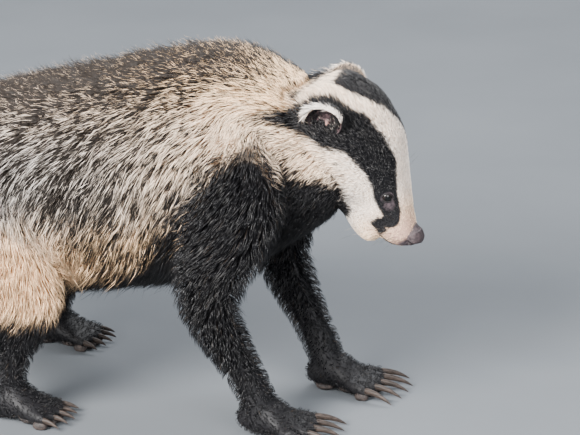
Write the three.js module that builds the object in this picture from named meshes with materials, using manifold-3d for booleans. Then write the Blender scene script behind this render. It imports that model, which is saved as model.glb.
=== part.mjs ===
// A European badger at life size, standing on four feet with its head lowered to sniff.
// Millimetres, +Z up, +X the way the animal faces, +Y its left side.
// Each part of the body is a tube through a few sections. A section's half sizes reach the tips of
// the coat, and coat is how deep the hair is there, down to the skin.

import * as THREE from "three";
import { mergeVertices } from "three/addons/utils/BufferGeometryUtils.js";
import Module from "manifold-3d";

const wasm = await Module();
wasm.setup();

// Driving sizes
const DEGREE = Math.PI / 180;
const GAP = 0.3; // between pieces that touch
const CORE_SHARE = 0.5; // how far down from the tips of the coat to the skin the solid core starts
const ROOT_SHARE = 0.75; // how far down a lock's root is sunk
const LOCK_THICK = 0.16; // of the coat's depth
const PROUD = 1.6; // how far the flesh under a limb stands out of the coat round it
const FAR = 1000; // larger than the whole animal
const SEED = 20;

// The head hangs from the neck: where the tip of the nose is, and how far the face points down.
const NOSE_TIP = new THREE.Vector3(153, 0, 169);
const HEAD_PITCH = 55 * DEGREE;
const HEAD_BACK = 132; // the cut between head and neck, back from the nose tip
const HEAD_BELOW = -64; // the cut between jaw and throat, below the line of the nose

// Trunk from the rump to the throat.
const TRUNK = [
  { x: -376, z: 164, high: 10, wide: 10, coat: 6 },
  { x: -366, z: 165, high: 36, wide: 43, coat: 18 },
  { x: -338, z: 168, high: 57, wide: 71, coat: 24 },
  { x: -292, z: 172, high: 75, wide: 94, coat: 28 },
  { x: -232, z: 178, high: 87, wide: 108, coat: 28 },
  { x: -172, z: 186, high: 97, wide: 115, coat: 28 },
  { x: -112, z: 197, high: 101, wide: 114, coat: 28 },
  { x: -60, z: 209, high: 103, wide: 107, coat: 26 },
  { x: -10, z: 223, high: 98, wide: 97, coat: 22 },
  { x: 30, z: 230, high: 81, wide: 82, coat: 18 },
  { x: 62, z: 236, high: 64, wide: 66, coat: 12 },
  { x: 90, z: 243, high: 45, wide: 50, coat: 8 },
  { x: 106, z: 247, high: 28, wide: 34, coat: 6 },
];

// Skull and muzzle from the nape to the nose: back from the nose tip, and above its line. A low
// full makes a section boxy.
const SKULL = [
  { back: 152, above: -10, high: 33, wide: 42, full: 1, coat: 6 },
  { back: 136, above: -14, high: 42, wide: 52, full: 1, coat: 6 },
  { back: 118, above: -15, high: 47.5, wide: 55, full: 1, coat: 5 },
  { back: 100, above: -14, high: 47.5, wide: 53, full: 1, coat: 5 },
  { back: 82, above: -12, high: 43.8, wide: 46, full: 0.97, coat: 4 },
  { back: 66, above: -11.5, high: 35.5, wide: 37, full: 0.92, coat: 3 },
  { back: 52, above: -12.5, high: 27.5, wide: 29, full: 0.86, coat: 2.5 },
  { back: 40, above: -15, high: 23.5, wide: 24, full: 0.82, coat: 2 },
  { back: 26, above: -17.5, high: 20, wide: 19.5, full: 0.82, coat: 2 },
  { back: 14, above: -17.5, high: 16.5, wide: 16.5, full: 0.85, coat: 1.5 },
  { back: 5, above: -15.5, high: 11.5, wide: 13, full: 0.9, coat: 1 },
  { back: -1, above: -13.5, high: 6, wide: 7, full: 1, coat: 0.5 },
];

// Lower jaw from its hinge to the chin, in the same measures.
const JAW = [
  { back: 92, above: -43, high: 15, wide: 36, coat: 3 },
  { back: 70, above: -39, high: 13, wide: 30, coat: 3 },
  { back: 50, above: -38, high: 13, wide: 22, coat: 3 },
  { back: 38, above: -40, high: 13, wide: 17.5, coat: 3 },
  { back: 28, above: -41.5, high: 11, wide: 14, coat: 3 },
  { back: 20, above: -40, high: 8.5, wide: 10, coat: 2 },
  { back: 16, above: -39, high: 4, wide: 5, coat: 1 },
];

// Left foreleg from the shoulder blade to the sole. high is half its size fore and aft.
const FORELEG = [
  { x: -8, y: 60, z: 262, high: 14, wide: 10, coat: 8 },
  { x: 2, y: 68, z: 240, high: 42, wide: 26, coat: 16 },
  { x: 10, y: 75, z: 210, high: 50, wide: 31, coat: 18 },
  { x: 2, y: 81, z: 174, high: 46, wide: 31, coat: 18 },
  { x: -10, y: 84, z: 140, high: 37, wide: 27, coat: 16 },
  { x: -10, y: 81, z: 110, high: 30, wide: 24, coat: 14 },
  { x: 2, y: 75, z: 82, high: 24, wide: 21, coat: 10 },
  { x: 14, y: 69, z: 58, high: 20, wide: 19, coat: 8 },
  { x: 23, y: 65, z: 38, high: 18, wide: 19, coat: 5 },
  { x: 28, y: 63, z: 20, high: 16, wide: 20, coat: 4 },
  { x: 30, y: 62, z: 6, high: 14, wide: 19, coat: 3 },
];

// Left hind leg from the hip to the sole.
const HIND_LEG = [
  { x: -276, y: 60, z: 220, high: 24, wide: 16, coat: 14 },
  { x: -262, y: 70, z: 192, high: 74, wide: 34, coat: 24 },
  { x: -232, y: 80, z: 162, high: 80, wide: 37, coat: 24 },
  { x: -200, y: 88, z: 134, high: 74, wide: 35, coat: 22 },
  { x: -182, y: 90, z: 106, high: 56, wide: 31, coat: 18 },
  { x: -184, y: 88, z: 80, high: 35, wide: 25, coat: 11 },
  { x: -188, y: 86, z: 54, high: 22, wide: 20, coat: 7 },
  { x: -192, y: 86, z: 34, high: 21, wide: 19, coat: 5 },
  { x: -190, y: 86, z: 18, high: 21, wide: 19, coat: 4 },
  { x: -188, y: 86, z: 6, high: 18, wide: 18, coat: 3 },
];

const TAIL = [
  { x: -350, z: 197, high: 14, wide: 16, coat: 8 },
  { x: -378, z: 184, high: 22, wide: 24, coat: 15 },
  { x: -402, z: 158, high: 24, wide: 26, coat: 18 },
  { x: -420, z: 128, high: 21, wide: 24, coat: 17 },
  { x: -432, z: 101, high: 15, wide: 17, coat: 12 },
  { x: -438, z: 82, high: 4, wide: 5, coat: 3 },
];

// How far each foot stands ahead of the places above, and further out.
const STANCE = {
  fore_left: { ahead: 26, out: 0 },
  fore_right: { ahead: 0, out: 0 },
  hind_left: { ahead: -36, out: 24 },
  hind_right: { ahead: 0, out: 0 },
};

// Each leg is parted at two heights.
const LEG_CUTS = {
  fore: { parts: ["foreleg", "forearm", "forepaw"], heights: [112, 42] },
  hind: { parts: ["hindleg", "shin", "hindpaw"], heights: [74, 46] },
};

// A paw: how long its pad and toes are, how they fan, and its claws.
const PAWS = {
  fore: { pad: 30, toe: 24, toeRadius: 7.2, fan: 9, spread: 10.2, claw: 25, clawRadius: 3.3 },
  hind: { pad: 34, toe: 20, toeRadius: 6.6, fan: 7, spread: 8.8, claw: 14, clawRadius: 2.8 },
};

// Rows of locks, by how far their roots are from the rump, where the hair is longest, or from the
// top of a limb.
const TRUNK_LOCKS = { first: 44, rows: 9, step: 51, wide: 54, narrow: 42, long: 100, short: 66 };
const CREST_WIDE = 1.4; // of the other locks, where the row starts further out
const DRIFT_SPREAD = 0.7; // how much further apart locks are where they lie across the row
const BELLY = 165 * DEGREE; // no locks further round than this
const NECK_ROW = 6.5; // the neck starts between two rows of locks
const LEG_BALD = [-150, -20]; // degrees round a leg, on its inner side, without locks
const LEG_LOCKS = {
  fore: { rows: [64, 96], count: 4, wide: 32, length: 46 },
  hind: { rows: [104, 134], count: 4, wide: 38, length: 48 },
};
const TAIL_LOCKS = { rows: [30, 60], count: 5, wide: 27, length: 56 };

const EYE = { back: 44.5, above: -4.8, aside: 19.8, radius: 5.2, lid: 1.9, tilt: 40 * DEGREE };
const EAR_BACK = { left: 136, right: 127 }; // the left ear is laid further back and lower
const EAR_ABOVE = { left: -7, right: 0 };
const EAR = { aside: 52, high: 20, wide: 18.5, thick: 11, wall: 3.4 };

// How finely each surface is divided: rings along it, and sides round it.
const RINGS = { trunk: [24, 20], skull: [20, 18], jaw: [8, 12], leg: [12, 12], tail: [8, 9] };

const COLOURS = {
  grizzle: 0x8d877d,
  cream: 0xd9cfbf,
  black: 0x23201f,
  leather: 0x4b3f40,
  eye: 0x120d0b,
  buff: 0xb7a78c,
};

// A smooth curve through every field of a list of sections, where t goes from 0 to 1.
function between(sections, t) {
  const last = sections.length - 1;
  const at = Math.min(Math.max(t, 0), 1) * last;
  const i = Math.min(Math.floor(at), last - 1);
  const f = at - i;
  const [a, b, c, d] = [-1, 0, 1, 2].map((k) => sections[Math.min(Math.max(i + k, 0), last)]);
  const found = {};
  for (const key of Object.keys(b)) {
    const bend = 2 * a[key] - 5 * b[key] + 4 * c[key] - d[key];
    const twist = 3 * (b[key] - c[key]) + d[key] - a[key];
    found[key] = b[key] + 0.5 * f * (c[key] - a[key] + f * (bend + f * twist));
  }
  return found;
}

// A repeatable random number from 0 to 1.
function dice(seed) {
  let state = seed;
  return () => {
    state = (state + 0x6d2b79f5) | 0;
    let t = Math.imul(state ^ (state >>> 15), 1 | state);
    t = (t + Math.imul(t ^ (t >>> 7), 61 | t)) ^ t;
    return ((t ^ (t >>> 14)) >>> 0) / 4294967296;
  };
}

// A sine or cosine pushed outwards, for a boxier section.
const filled = (value, full) => Math.sign(value) * Math.abs(value) ** full;

// A tube through sections. turn is the angle round it: 0 at the top or front, a quarter turn at
// the animal's left.
class Tube {
  constructor(sections) {
    this.sections = sections.map((s) => ({ y: 0, coat: 0, full: 1, ...s }));
  }

  centre(t) {
    const s = between(this.sections, t);
    return new THREE.Vector3(s.x, s.y, s.z);
  }

  // under is the depth below the tips in shares of the coat, and grow is added in millimetres.
  point(t, turn, under = 0, grow = 0) {
    const s = between(this.sections, t);
    const along = this.centre(t + 0.01).sub(this.centre(t - 0.01)).normalize();
    const side = new THREE.Vector3(0, 1, 0).addScaledVector(along, -along.y).normalize();
    const up = along.clone().cross(side);
    const high = Math.max(s.high - s.coat * under + grow, 0.4);
    const wide = Math.max(s.wide - s.coat * under + grow, 0.4);
    return new THREE.Vector3(s.x, s.y, s.z)
      .addScaledVector(up, filled(Math.cos(turn), s.full) * high)
      .addScaledVector(side, filled(Math.sin(turn), s.full) * wide);
  }

  normal(t, turn) {
    const across = this.point(t, turn + 0.05).sub(this.point(t, turn - 0.05));
    const along = this.point(t + 0.01, turn).sub(this.point(t - 0.01, turn));
    return across.cross(along).normalize();
  }

  // Where on the tube a distance from its first section falls, from 0 to 1.
  along(distance) {
    const steps = 200;
    let gone = 0;
    for (let i = 0; i < steps; i++) {
      const step = this.centre((i + 1) / steps).distanceTo(this.centre(i / steps));
      if (gone + step >= distance) return (i + (distance - gone) / step) / steps;
      gone += step;
    }
    return 1;
  }

  // The closed surface, by rings of the same number of sides.
  surface(rings, sides, under = 0, grow = 0) {
    const made = [];
    for (let i = 0; i < rings; i++) {
      const ring = [];
      for (let j = 0; j < sides; j++) {
        ring.push(this.point(i / (rings - 1), ((j + 0.5) / sides) * 2 * Math.PI, under, grow));
      }
      made.push(ring);
    }
    return solid(ringed(made));
  }
}

// A closed geometry through rings of points, each end closed by a fan.
function ringed(rings) {
  const sides = rings[0].length;
  const points = rings.flat();
  const faces = [];
  for (let i = 0; i + 1 < rings.length; i++) {
    for (let j = 0; j < sides; j++) {
      const a = i * sides + j;
      const b = i * sides + ((j + 1) % sides);
      faces.push(a, a + sides, b, b, a + sides, b + sides);
    }
  }
  for (const end of [0, rings.length - 1]) {
    const middle = points.length;
    const sum = rings[end].reduce((total, p) => total.add(p), new THREE.Vector3());
    points.push(sum.divideScalar(sides));
    for (let j = 0; j < sides; j++) {
      const a = end * sides + j;
      const b = end * sides + ((j + 1) % sides);
      faces.push(middle, end ? b : a, end ? a : b);
    }
  }
  const geometry = new THREE.BufferGeometry().setFromPoints(points);
  geometry.setIndex(faces);
  return geometry;
}

// A closed geometry as a solid to join and cut, turned so that its faces point out.
function solid(geometry) {
  const bare = geometry.clone();
  bare.deleteAttribute("normal");
  bare.deleteAttribute("uv");
  const merged = mergeVertices(bare, 1e-4);
  const corners = new Uint32Array(merged.index.array);
  const build = () =>
    new wasm.Manifold(
      new wasm.Mesh({
        numProp: 3,
        vertProperties: new Float32Array(merged.attributes.position.array),
        triVerts: corners,
      }),
    );
  const made = build();
  if (made.volume() > 0) return made;
  for (let i = 0; i < corners.length; i += 3) {
    [corners[i + 1], corners[i + 2]] = [corners[i + 2], corners[i + 1]];
  }
  return build();
}

function joined(solids) {
  return solids.reduce((all, next) => all.add(next));
}

function largest(made) {
  return made.decompose().reduce((best, s) => (s.volume() > best.volume() ? s : best));
}

// Everything on one side of a plane: the side that its direction points to.
function halfSpace(point, direction) {
  const box = new THREE.BoxGeometry(2 * FAR, 2 * FAR, 2 * FAR).translate(0, 0, FAR);
  const turn = new THREE.Quaternion().setFromUnitVectors(
    new THREE.Vector3(0, 0, 1),
    direction.clone().normalize(),
  );
  return solid(box.applyQuaternion(turn).translate(point.x, point.y, point.z));
}

function ellipsoid(centre, x, y, z, turn = new THREE.Quaternion(), around = 10) {
  const ball = new THREE.SphereGeometry(1, around, Math.round(around * 0.7));
  return solid(
    ball.scale(x, y, z).applyQuaternion(turn).translate(centre.x, centre.y, centre.z),
  );
}

// Head measures turned into the body's frame.
const FACE = new THREE.Vector3(Math.cos(HEAD_PITCH), 0, -Math.sin(HEAD_PITCH));
const CROWN = new THREE.Vector3(Math.sin(HEAD_PITCH), 0, Math.cos(HEAD_PITCH));
function onHead(back, above, aside = 0) {
  return NOSE_TIP.clone()
    .addScaledVector(FACE, -back)
    .addScaledVector(CROWN, above)
    .add(new THREE.Vector3(0, aside, 0));
}

function headTube(list) {
  const sections = list.map(({ back, above, aside = 0, ...sizes }) => {
    const p = onHead(back, above, aside);
    return { x: p.x, y: p.y, z: p.z, ...sizes };
  });
  return new Tube(sections);
}

function legTube(list, side, { ahead, out }) {
  const top = list[0].z;
  const sections = list.map((s) => {
    const down = 1 - s.z / top;
    return { ...s, x: s.x + ahead * down, y: (s.y + out * down) * side };
  });
  return new Tube(sections);
}

const trunk = new Tube(TRUNK);
const skull = headTube(SKULL);
const jaw = headTube(JAW);
const tail = new Tube(TAIL);
const SIDES = { left: 1, right: -1 };

// One claw: a curved, tapering horn.
function claw(root, heading, length, radius) {
  const sections = [0, 0.5, 1].map((t) => ({
    x: root.x + Math.cos(heading) * length * t,
    y: root.y + Math.sin(heading) * length * t,
    z: root.z - length * 0.24 * t * t,
    high: radius * (1 - 0.8 * t),
    wide: radius * 0.72 * (1 - 0.8 * t),
  }));
  return new Tube(sections).surface(3, 3);
}

// A foot with five toes and their claws, on the floor at z = 0. x and y are the ankle's.
function paw(x, y, side, sizes) {
  const front = x + sizes.pad;
  const pad = new Tube([
    { x: x - 22, y, z: 10, high: 6, wide: 9 },
    { x: x - 14, y, z: 13, high: 14, wide: 16 },
    { x: x + 4, y, z: 16, high: 18, wide: 20 },
    { x: front - 14, y, z: 12, high: 14, wide: 23 },
    { x: front, y, z: 9, high: 10, wide: 22 },
    { x: front + 7, y, z: 7, high: 5, wide: 17 },
  ]);
  const pieces = [pad.surface(6, 10)];
  for (let i = -2; i <= 2; i++) {
    const heading = side * i * sizes.fan * DEGREE;
    const shorter = i * i * 1.4;
    const rootX = front - 6 - shorter;
    const rootY = y + side * i * sizes.spread;
    const r = sizes.toeRadius;
    const run = (t) => ({
      x: rootX + Math.cos(heading) * sizes.toe * t,
      y: rootY + Math.sin(heading) * sizes.toe * t,
    });
    const toe = new Tube([
      { ...run(0), z: 9, high: r * 0.9, wide: r * 0.65 },
      { ...run(0.45), z: 9.5, high: r * 1.05, wide: r * 0.74 },
      { ...run(0.85), z: 7, high: r * 0.95, wide: r * 0.72 },
      { ...run(1), z: 5.5, high: r * 0.5, wide: r * 0.4 },
    ]);
    pieces.push(toe.surface(4, 5));
    pieces.push(claw({ ...run(0.84), z: 9 }, heading, sizes.claw, sizes.clawRadius));
  }
  return joined(pieces);
}

// How deep in the coat a lock's upper side is, from its root to its tip: it rises fast, then flatter.
const lockDepth = (run) => ROOT_SHARE * (1 - run) ** 2;

// A lock of the coat: a flat, tapering blade with its root sunk in the core. It follows the
// surface to the tips of the coat. drift turns it round the tube.
function lock(tube, at, turn, { length, wide, flow, drift }) {
  const width = between(tube.sections, tube.along(at)).wide;
  const spots = [
    { run: 0, share: 0.5 },
    { run: 0.36, share: 1 },
    { run: 0.72, share: 0.75 },
    { run: 1, share: 0 },
  ].map(({ run, share }) => {
    const t = tube.along(at + flow * length * run * Math.cos(drift));
    const round = turn + (length * run * Math.sin(drift)) / width;
    const coat = between(tube.sections, t).coat;
    return {
      p: tube.point(t, round, lockDepth(run) + LOCK_THICK * share),
      out: tube.normal(t, round),
      half: Math.max((wide / 2) * share, GAP),
      ridge: Math.max(LOCK_THICK * coat * share, GAP),
    };
  });
  const rings = spots.map(({ p, out, half, ridge }, k) => {
    const from = spots[Math.max(k - 1, 0)].p;
    const to = spots[Math.min(k + 1, spots.length - 1)].p;
    const across = out.clone().cross(to.clone().sub(from)).normalize();
    return [
      p.clone().addScaledVector(across, -half),
      p.clone().addScaledVector(out, ridge),
      p.clone().addScaledVector(across, half),
    ];
  });
  return solid(ringed(rings));
}

// How far the hair leans from straight back towards the belly: most on the flanks.
function trunkDrift(t, turn) {
  const flank = Math.max(Math.sin(Math.abs(turn)), 0) ** 1.5;
  const most = THREE.MathUtils.lerp(56, 12, THREE.MathUtils.smoothstep(t, 0.5, 0.85));
  return Math.sign(turn) * flank * most * DEGREE;
}

// How long and wide the locks of a row are: least at the neck.
function trunkRow(row) {
  const { first, rows, step, wide, narrow, long, short } = TRUNK_LOCKS;
  const forward = THREE.MathUtils.smoothstep(row, rows * 0.5, rows - 1);
  const at = first + step * row;
  const length = Math.min(THREE.MathUtils.lerp(long, short, forward), at * 0.95);
  return { at, length, breadth: THREE.MathUtils.lerp(wide, narrow, forward) };
}

// Rows of locks over the trunk. Each row has one on the crest of the back, and the others are set
// over the gaps of the row behind.
function trunkLocks() {
  const random = dice(SEED);
  const made = [];
  for (let row = 0; row < TRUNK_LOCKS.rows; row++) {
    const { at, length, breadth } = trunkRow(row);
    const t = trunk.along(at);
    const s = between(trunk.sections, t);
    const pitch = (2 * breadth) / (s.high + s.wide);
    const grow = (turn, share) => {
      const wide = breadth * share * (0.9 + 0.1 * random());
      const size = { wide, length: length * (0.85 + 0.15 * random()), flow: -1 };
      made.push(lock(trunk, at, turn, { ...size, drift: trunkDrift(t, turn) }));
    };
    const odd = row % 2;
    grow(0, odd ? CREST_WIDE : 1);
    for (let turn = pitch * (odd ? 1.5 : 1); turn < BELLY; ) {
      grow(turn, 1);
      grow(-turn, 1);
      turn += pitch / Math.cos(trunkDrift(t, turn)) ** DRIFT_SPREAD;
    }
  }
  return made;
}

// The space behind the neck. Its front end passes under the locks that grow on the neck.
function behindNeck(grow) {
  const { at, length } = trunkRow(NECK_ROW);
  const rings = [0, 0.2, 0.4, 0.6, 0.8, 1].map((run) => ({
    t: trunk.along(at + grow - length * run),
    depth: lockDepth(run),
    grow,
  }));
  const outside = 40;
  rings.push({ t: rings.at(-1).t, depth: 0, grow: outside });
  rings.push({ t: 0, depth: 0, grow: 2 * outside });
  const sides = RINGS.trunk[1];
  const turns = Array.from({ length: sides }, (_, j) => ((j + 0.5) / sides) * 2 * Math.PI);
  return solid(
    ringed(rings.map((r) => turns.map((turn) => trunk.point(r.t, turn, r.depth, r.grow)))),
  );
}

// Rows of locks round a limb, from one angle to another, that run down it.
function limbLocks(tube, { rows, count, wide, length }, start, end, seed) {
  const random = dice(seed);
  const made = [];
  for (const [row, at] of rows.entries()) {
    for (let i = 0; i < count; i++) {
      const share = (i + 0.25 + (row % 2) * 0.5) / count;
      const size = { wide: wide * (0.88 + 0.12 * random()), length: length * (0.85 + 0.15 * random()) };
      const turn = THREE.MathUtils.lerp(start, end, share);
      made.push(lock(tube, at, turn, { ...size, flow: 1, drift: 0 }));
    }
  }
  return made;
}

// The rounded cup of an ear: a thick shell, open to the front and side.
function ear(side, back, above) {
  const up = new THREE.Vector3().addScaledVector(FACE, -0.6).addScaledVector(CROWN, 0.66);
  up.add(new THREE.Vector3(0, side * 0.5, 0)).normalize();
  const opening = new THREE.Vector3().addScaledVector(FACE, 0.35).addScaledVector(CROWN, -0.3);
  opening.add(new THREE.Vector3(0, side * 0.9, 0));
  opening.addScaledVector(up, -opening.dot(up)).normalize();
  const across = opening.clone().cross(up);
  const turn = new THREE.Quaternion().setFromRotationMatrix(
    new THREE.Matrix4().makeBasis(across, opening, up),
  );
  const root = onHead(back, above, side * EAR.aside);
  const forward = (share) => root.clone().addScaledVector(opening, EAR.thick * share);
  const shell = ellipsoid(root, EAR.wide, EAR.thick, EAR.high, turn, 12);
  const inside = [EAR.wide - EAR.wall, EAR.thick, EAR.high - EAR.wall];
  const hollow = ellipsoid(forward(0.62), ...inside, turn, 12);
  return shell.subtract(halfSpace(forward(0.36), opening)).subtract(hollow);
}

// Nose leather with its two comma-shaped nostrils.
function nose(grow) {
  const leather = headTube([
    { back: 11, above: -7.5, high: 4, wide: 5 },
    { back: 8, above: -9, high: 6.5, wide: 9 },
    { back: 3, above: -10.5, high: 7.5, wide: 11.5 },
    { back: -2, above: -11, high: 7, wide: 10.5 },
    { back: -5.5, above: -11.5, high: 3.5, wide: 6 },
  ]);
  const whole = leather.surface(6, 11, 0, grow);
  if (grow) return whole;
  const nostrils = Object.values(SIDES).map((side) =>
    headTube([
      { back: -8, above: -11, aside: side * 4, high: 2.3, wide: 2.3 },
      { back: -1, above: -11, aside: side * 6, high: 2.1, wide: 2.1 },
      { back: 2, above: -13, aside: side * 9.5, high: 1.3, wide: 1.3 },
      { back: 3, above: -14.5, aside: side * 13, high: 1.0, wide: 1.0 },
    ]).surface(4, 6),
  );
  return nostrils.reduce((left, hole) => left.subtract(hole), whole);
}

// A tube along the edge of the upper lip to the corner of the mouth, raised above it by rise.
function lipLine(side, rise, high, wide) {
  const path = [
    { back: -1, above: -20, aside: 3 },
    { back: 4, above: -26, aside: 8.5 },
    { back: 11, above: -31.5, aside: 12 },
    { back: 19, above: -34.5, aside: 14 },
    { back: 28, above: -36, aside: 16.5 },
    { back: 37, above: -35.5, aside: 19.5 },
  ];
  const sections = path.map((s) => ({
    back: s.back,
    above: s.above + rise,
    aside: side * s.aside,
    high,
    wide,
  }));
  return headTube(sections).surface(7, 5);
}

// The part of space that belongs to the head: before the nape and above the throat.
function headBlock(grow) {
  const size = FAR / 2;
  const grown = size + 2 * grow;
  const middle = onHead(HEAD_BACK - size / 2, HEAD_BELOW + size / 2);
  const block = new THREE.BoxGeometry(grown, grown, grown);
  return solid(block.rotateY(HEAD_PITCH).translate(middle.x, middle.y, middle.z));
}

const group = new THREE.Group();
group.name = "badger";
const reached = new THREE.Box3();

function addNode(name, made, colour, roughness) {
  const cut = largest(made).getMesh();
  const geometry = new THREE.BufferGeometry();
  geometry.setAttribute("position", new THREE.BufferAttribute(cut.vertProperties, 3));
  geometry.setIndex(new THREE.BufferAttribute(cut.triVerts, 1));
  const material = new THREE.MeshStandardMaterial({ color: colour, roughness, metalness: 0 });
  const mesh = new THREE.Mesh(geometry, material);
  mesh.name = name;
  group.add(mesh);
  geometry.computeBoundingBox();
  reached.union(geometry.boundingBox);
}

// The trunk: a core, its locks, and solid flesh under the limbs and the tail, parted by a thin
// cut into neck and torso.
const up = new THREE.Vector3(0, 0, 1);
const limbs = Object.entries(STANCE).map(([stance, place]) => {
  const [pair, name] = stance.split("_");
  const side = SIDES[name];
  const tube = legTube(pair === "fore" ? FORELEG : HIND_LEG, side, place);
  return { pair, name, side, tube };
});
const tailCore = tail.surface(...RINGS.tail, CORE_SHARE);
const flesh = [...limbs.map(({ tube }) => tube.surface(...RINGS.leg, CORE_SHARE)), tailCore];
const outer = trunk.surface(...RINGS.trunk, 0, PROUD);
const clear = trunk.surface(...RINGS.trunk, 0, PROUD + GAP);
const trunkCore = trunk.surface(...RINGS.trunk, CORE_SHARE);
const trunkWhole = joined([trunkCore, ...flesh, ...trunkLocks()]).intersect(outer);
const neckCut = GAP + 0.1; // a little more, as the cut slants
addNode("torso", trunkWhole.intersect(behindNeck(0)), COLOURS.grizzle, 0.9);
const neck = trunkWhole.subtract(behindNeck(neckCut)).subtract(headBlock(GAP / 2));
addNode("neck", neck, COLOURS.cream, 0.9);

// The head with its jaw, lids and lips. The nose and the eyes stand in it.
const skullWhole = skull.surface(...RINGS.skull);
let head = joined([skullWhole, jaw.surface(...RINGS.jaw), trunkCore]).intersect(headBlock(-GAP / 2));
for (const [name, side] of Object.entries(SIDES)) {
  const centre = onHead(EYE.back, EYE.above, side * EYE.aside);
  const ball = (radius) => ellipsoid(centre, radius, radius, radius);
  const tilt = new THREE.Quaternion().setFromAxisAngle(new THREE.Vector3(0, 1, 0), EYE.tilt);
  const slit = ellipsoid(centre.clone().add(new THREE.Vector3(1, side * 6, 0.5)), 5.4, 6, 3.3, tilt);
  head = head.add(ball(EYE.radius + EYE.lid)).subtract(ball(EYE.radius + GAP)).subtract(slit);
  head = head.add(lipLine(side, 2.2, 2.2, 2.4)).subtract(lipLine(side, 0, 1.2, 2.2));
  addNode(`eye_${name}`, ball(EYE.radius), COLOURS.eye, 0.08);
}
addNode("head", head.subtract(nose(GAP)), COLOURS.cream, 0.85);
addNode("nose", nose(0), COLOURS.leather, 0.45);
const headClear = skull.surface(...RINGS.skull, 0, GAP).add(clear);
for (const [name, side] of Object.entries(SIDES)) {
  const cup = ear(side, EAR_BACK[name], EAR_ABOVE[name]);
  addNode(`ear_${name}`, cup.subtract(headClear), COLOURS.black, 0.9);
}

const tailLocks = limbLocks(tail, TAIL_LOCKS, -Math.PI, Math.PI, SEED + 1);
addNode("tail", joined([tailCore, ...tailLocks]).subtract(clear), COLOURS.buff, 0.9);

// Each leg with locks on all but its inner side, and its paw.
const floor = halfSpace(new THREE.Vector3(), up.clone().negate());
for (const [index, { pair, name, side, tube }] of limbs.entries()) {
  const [from, to] = LEG_BALD.map((angle) => side * angle * DEGREE);
  const locks = limbLocks(tube, LEG_LOCKS[pair], to, from + side * 2 * Math.PI, SEED + 2 + index);
  const ankle = tube.sections.at(-1);
  const whole = joined([tube.surface(...RINGS.leg, CORE_SHARE), ...locks])
    .subtract(clear)
    .add(paw(ankle.x, ankle.y, side, PAWS[pair]))
    .subtract(floor);
  const { parts, heights } = LEG_CUTS[pair];
  const under = (z) => halfSpace(new THREE.Vector3(0, 0, z - GAP / 2), up.clone().negate());
  const over = (z) => halfSpace(new THREE.Vector3(0, 0, z + GAP / 2), up);
  const [knee, wrist] = heights;
  addNode(`${parts[0]}_${name}`, whole.intersect(over(knee)), COLOURS.black, 0.9);
  addNode(`${parts[1]}_${name}`, whole.intersect(under(knee)).intersect(over(wrist)), COLOURS.black, 0.9);
  addNode(`${parts[2]}_${name}`, whole.intersect(under(wrist)), COLOURS.black, 0.8);
}

// The middle of the animal's box goes to the origin, with the soles on the floor.
const middle = reached.getCenter(new THREE.Vector3());
group.position.set(-middle.x, -middle.y, 0);

export default group;
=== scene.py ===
"""A European badger, life size: one skin, a coat of solid tufts that follows its lie, and eyes,
lids, nose, ears, claws, pads and whiskers as pieces of their own."""
import math

import bmesh
import bpy
import numpy as np
from bpy.props import FloatProperty, FloatVectorProperty, IntProperty, PointerProperty
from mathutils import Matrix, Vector
from mathutils.kdtree import KDTree


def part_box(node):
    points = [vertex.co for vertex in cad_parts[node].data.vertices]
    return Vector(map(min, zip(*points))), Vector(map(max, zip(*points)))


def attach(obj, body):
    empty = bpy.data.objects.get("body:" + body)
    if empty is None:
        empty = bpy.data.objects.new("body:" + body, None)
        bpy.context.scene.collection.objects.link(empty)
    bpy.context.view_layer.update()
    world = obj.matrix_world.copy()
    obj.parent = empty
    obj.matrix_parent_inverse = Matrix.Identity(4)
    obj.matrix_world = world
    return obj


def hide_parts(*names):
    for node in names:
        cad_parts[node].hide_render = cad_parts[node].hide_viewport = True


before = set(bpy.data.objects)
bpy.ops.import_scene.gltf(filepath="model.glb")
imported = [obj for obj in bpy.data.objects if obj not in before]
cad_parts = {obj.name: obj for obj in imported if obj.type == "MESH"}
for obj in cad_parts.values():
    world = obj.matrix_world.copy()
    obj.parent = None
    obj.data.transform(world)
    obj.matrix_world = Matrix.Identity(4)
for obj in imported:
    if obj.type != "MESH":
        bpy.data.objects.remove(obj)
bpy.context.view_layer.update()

bl_info = {
    "name": "European badger",
    "version": (1, 0, 0),
    "blender": (4, 5, 0),
    "location": "View3D > Sidebar > Badger",
    "description": "Builds a life-size European badger with a coat of solid tufts",
    "category": "Add Mesh",
}

# Driving sizes in millimetres, in the animal's own frame: x forward, y to its left, z up.
MM = 0.001
HEAD_PITCH = math.radians(55)
NOSE_TIP = np.array([153.0, 0.0, 169.0])
FACE = np.array([math.cos(HEAD_PITCH), 0.0, -math.sin(HEAD_PITCH)])
CROWN = np.array([math.sin(HEAD_PITCH), 0.0, math.cos(HEAD_PITCH)])
SIDES = {"left": 1, "right": -1}
BODY = "root"

# x, z, half height, half width and depth of the coat, from the rump to the nape.
TRUNK = (
    (-376, 164, 10, 10, 6),
    (-366, 165, 36, 43, 18),
    (-338, 168, 57, 71, 24),
    (-292, 172, 75, 94, 28),
    (-232, 178, 87, 108, 28),
    (-172, 186, 97, 115, 28),
    (-112, 197, 101, 114, 28),
    (-60, 209, 103, 107, 26),
    (-10, 223, 98, 97, 22),
    (30, 230, 81, 82, 18),
    (62, 236, 64, 66, 12),
    (90, 243, 45, 50, 8),
    (106, 247, 28, 34, 6),
)
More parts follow.
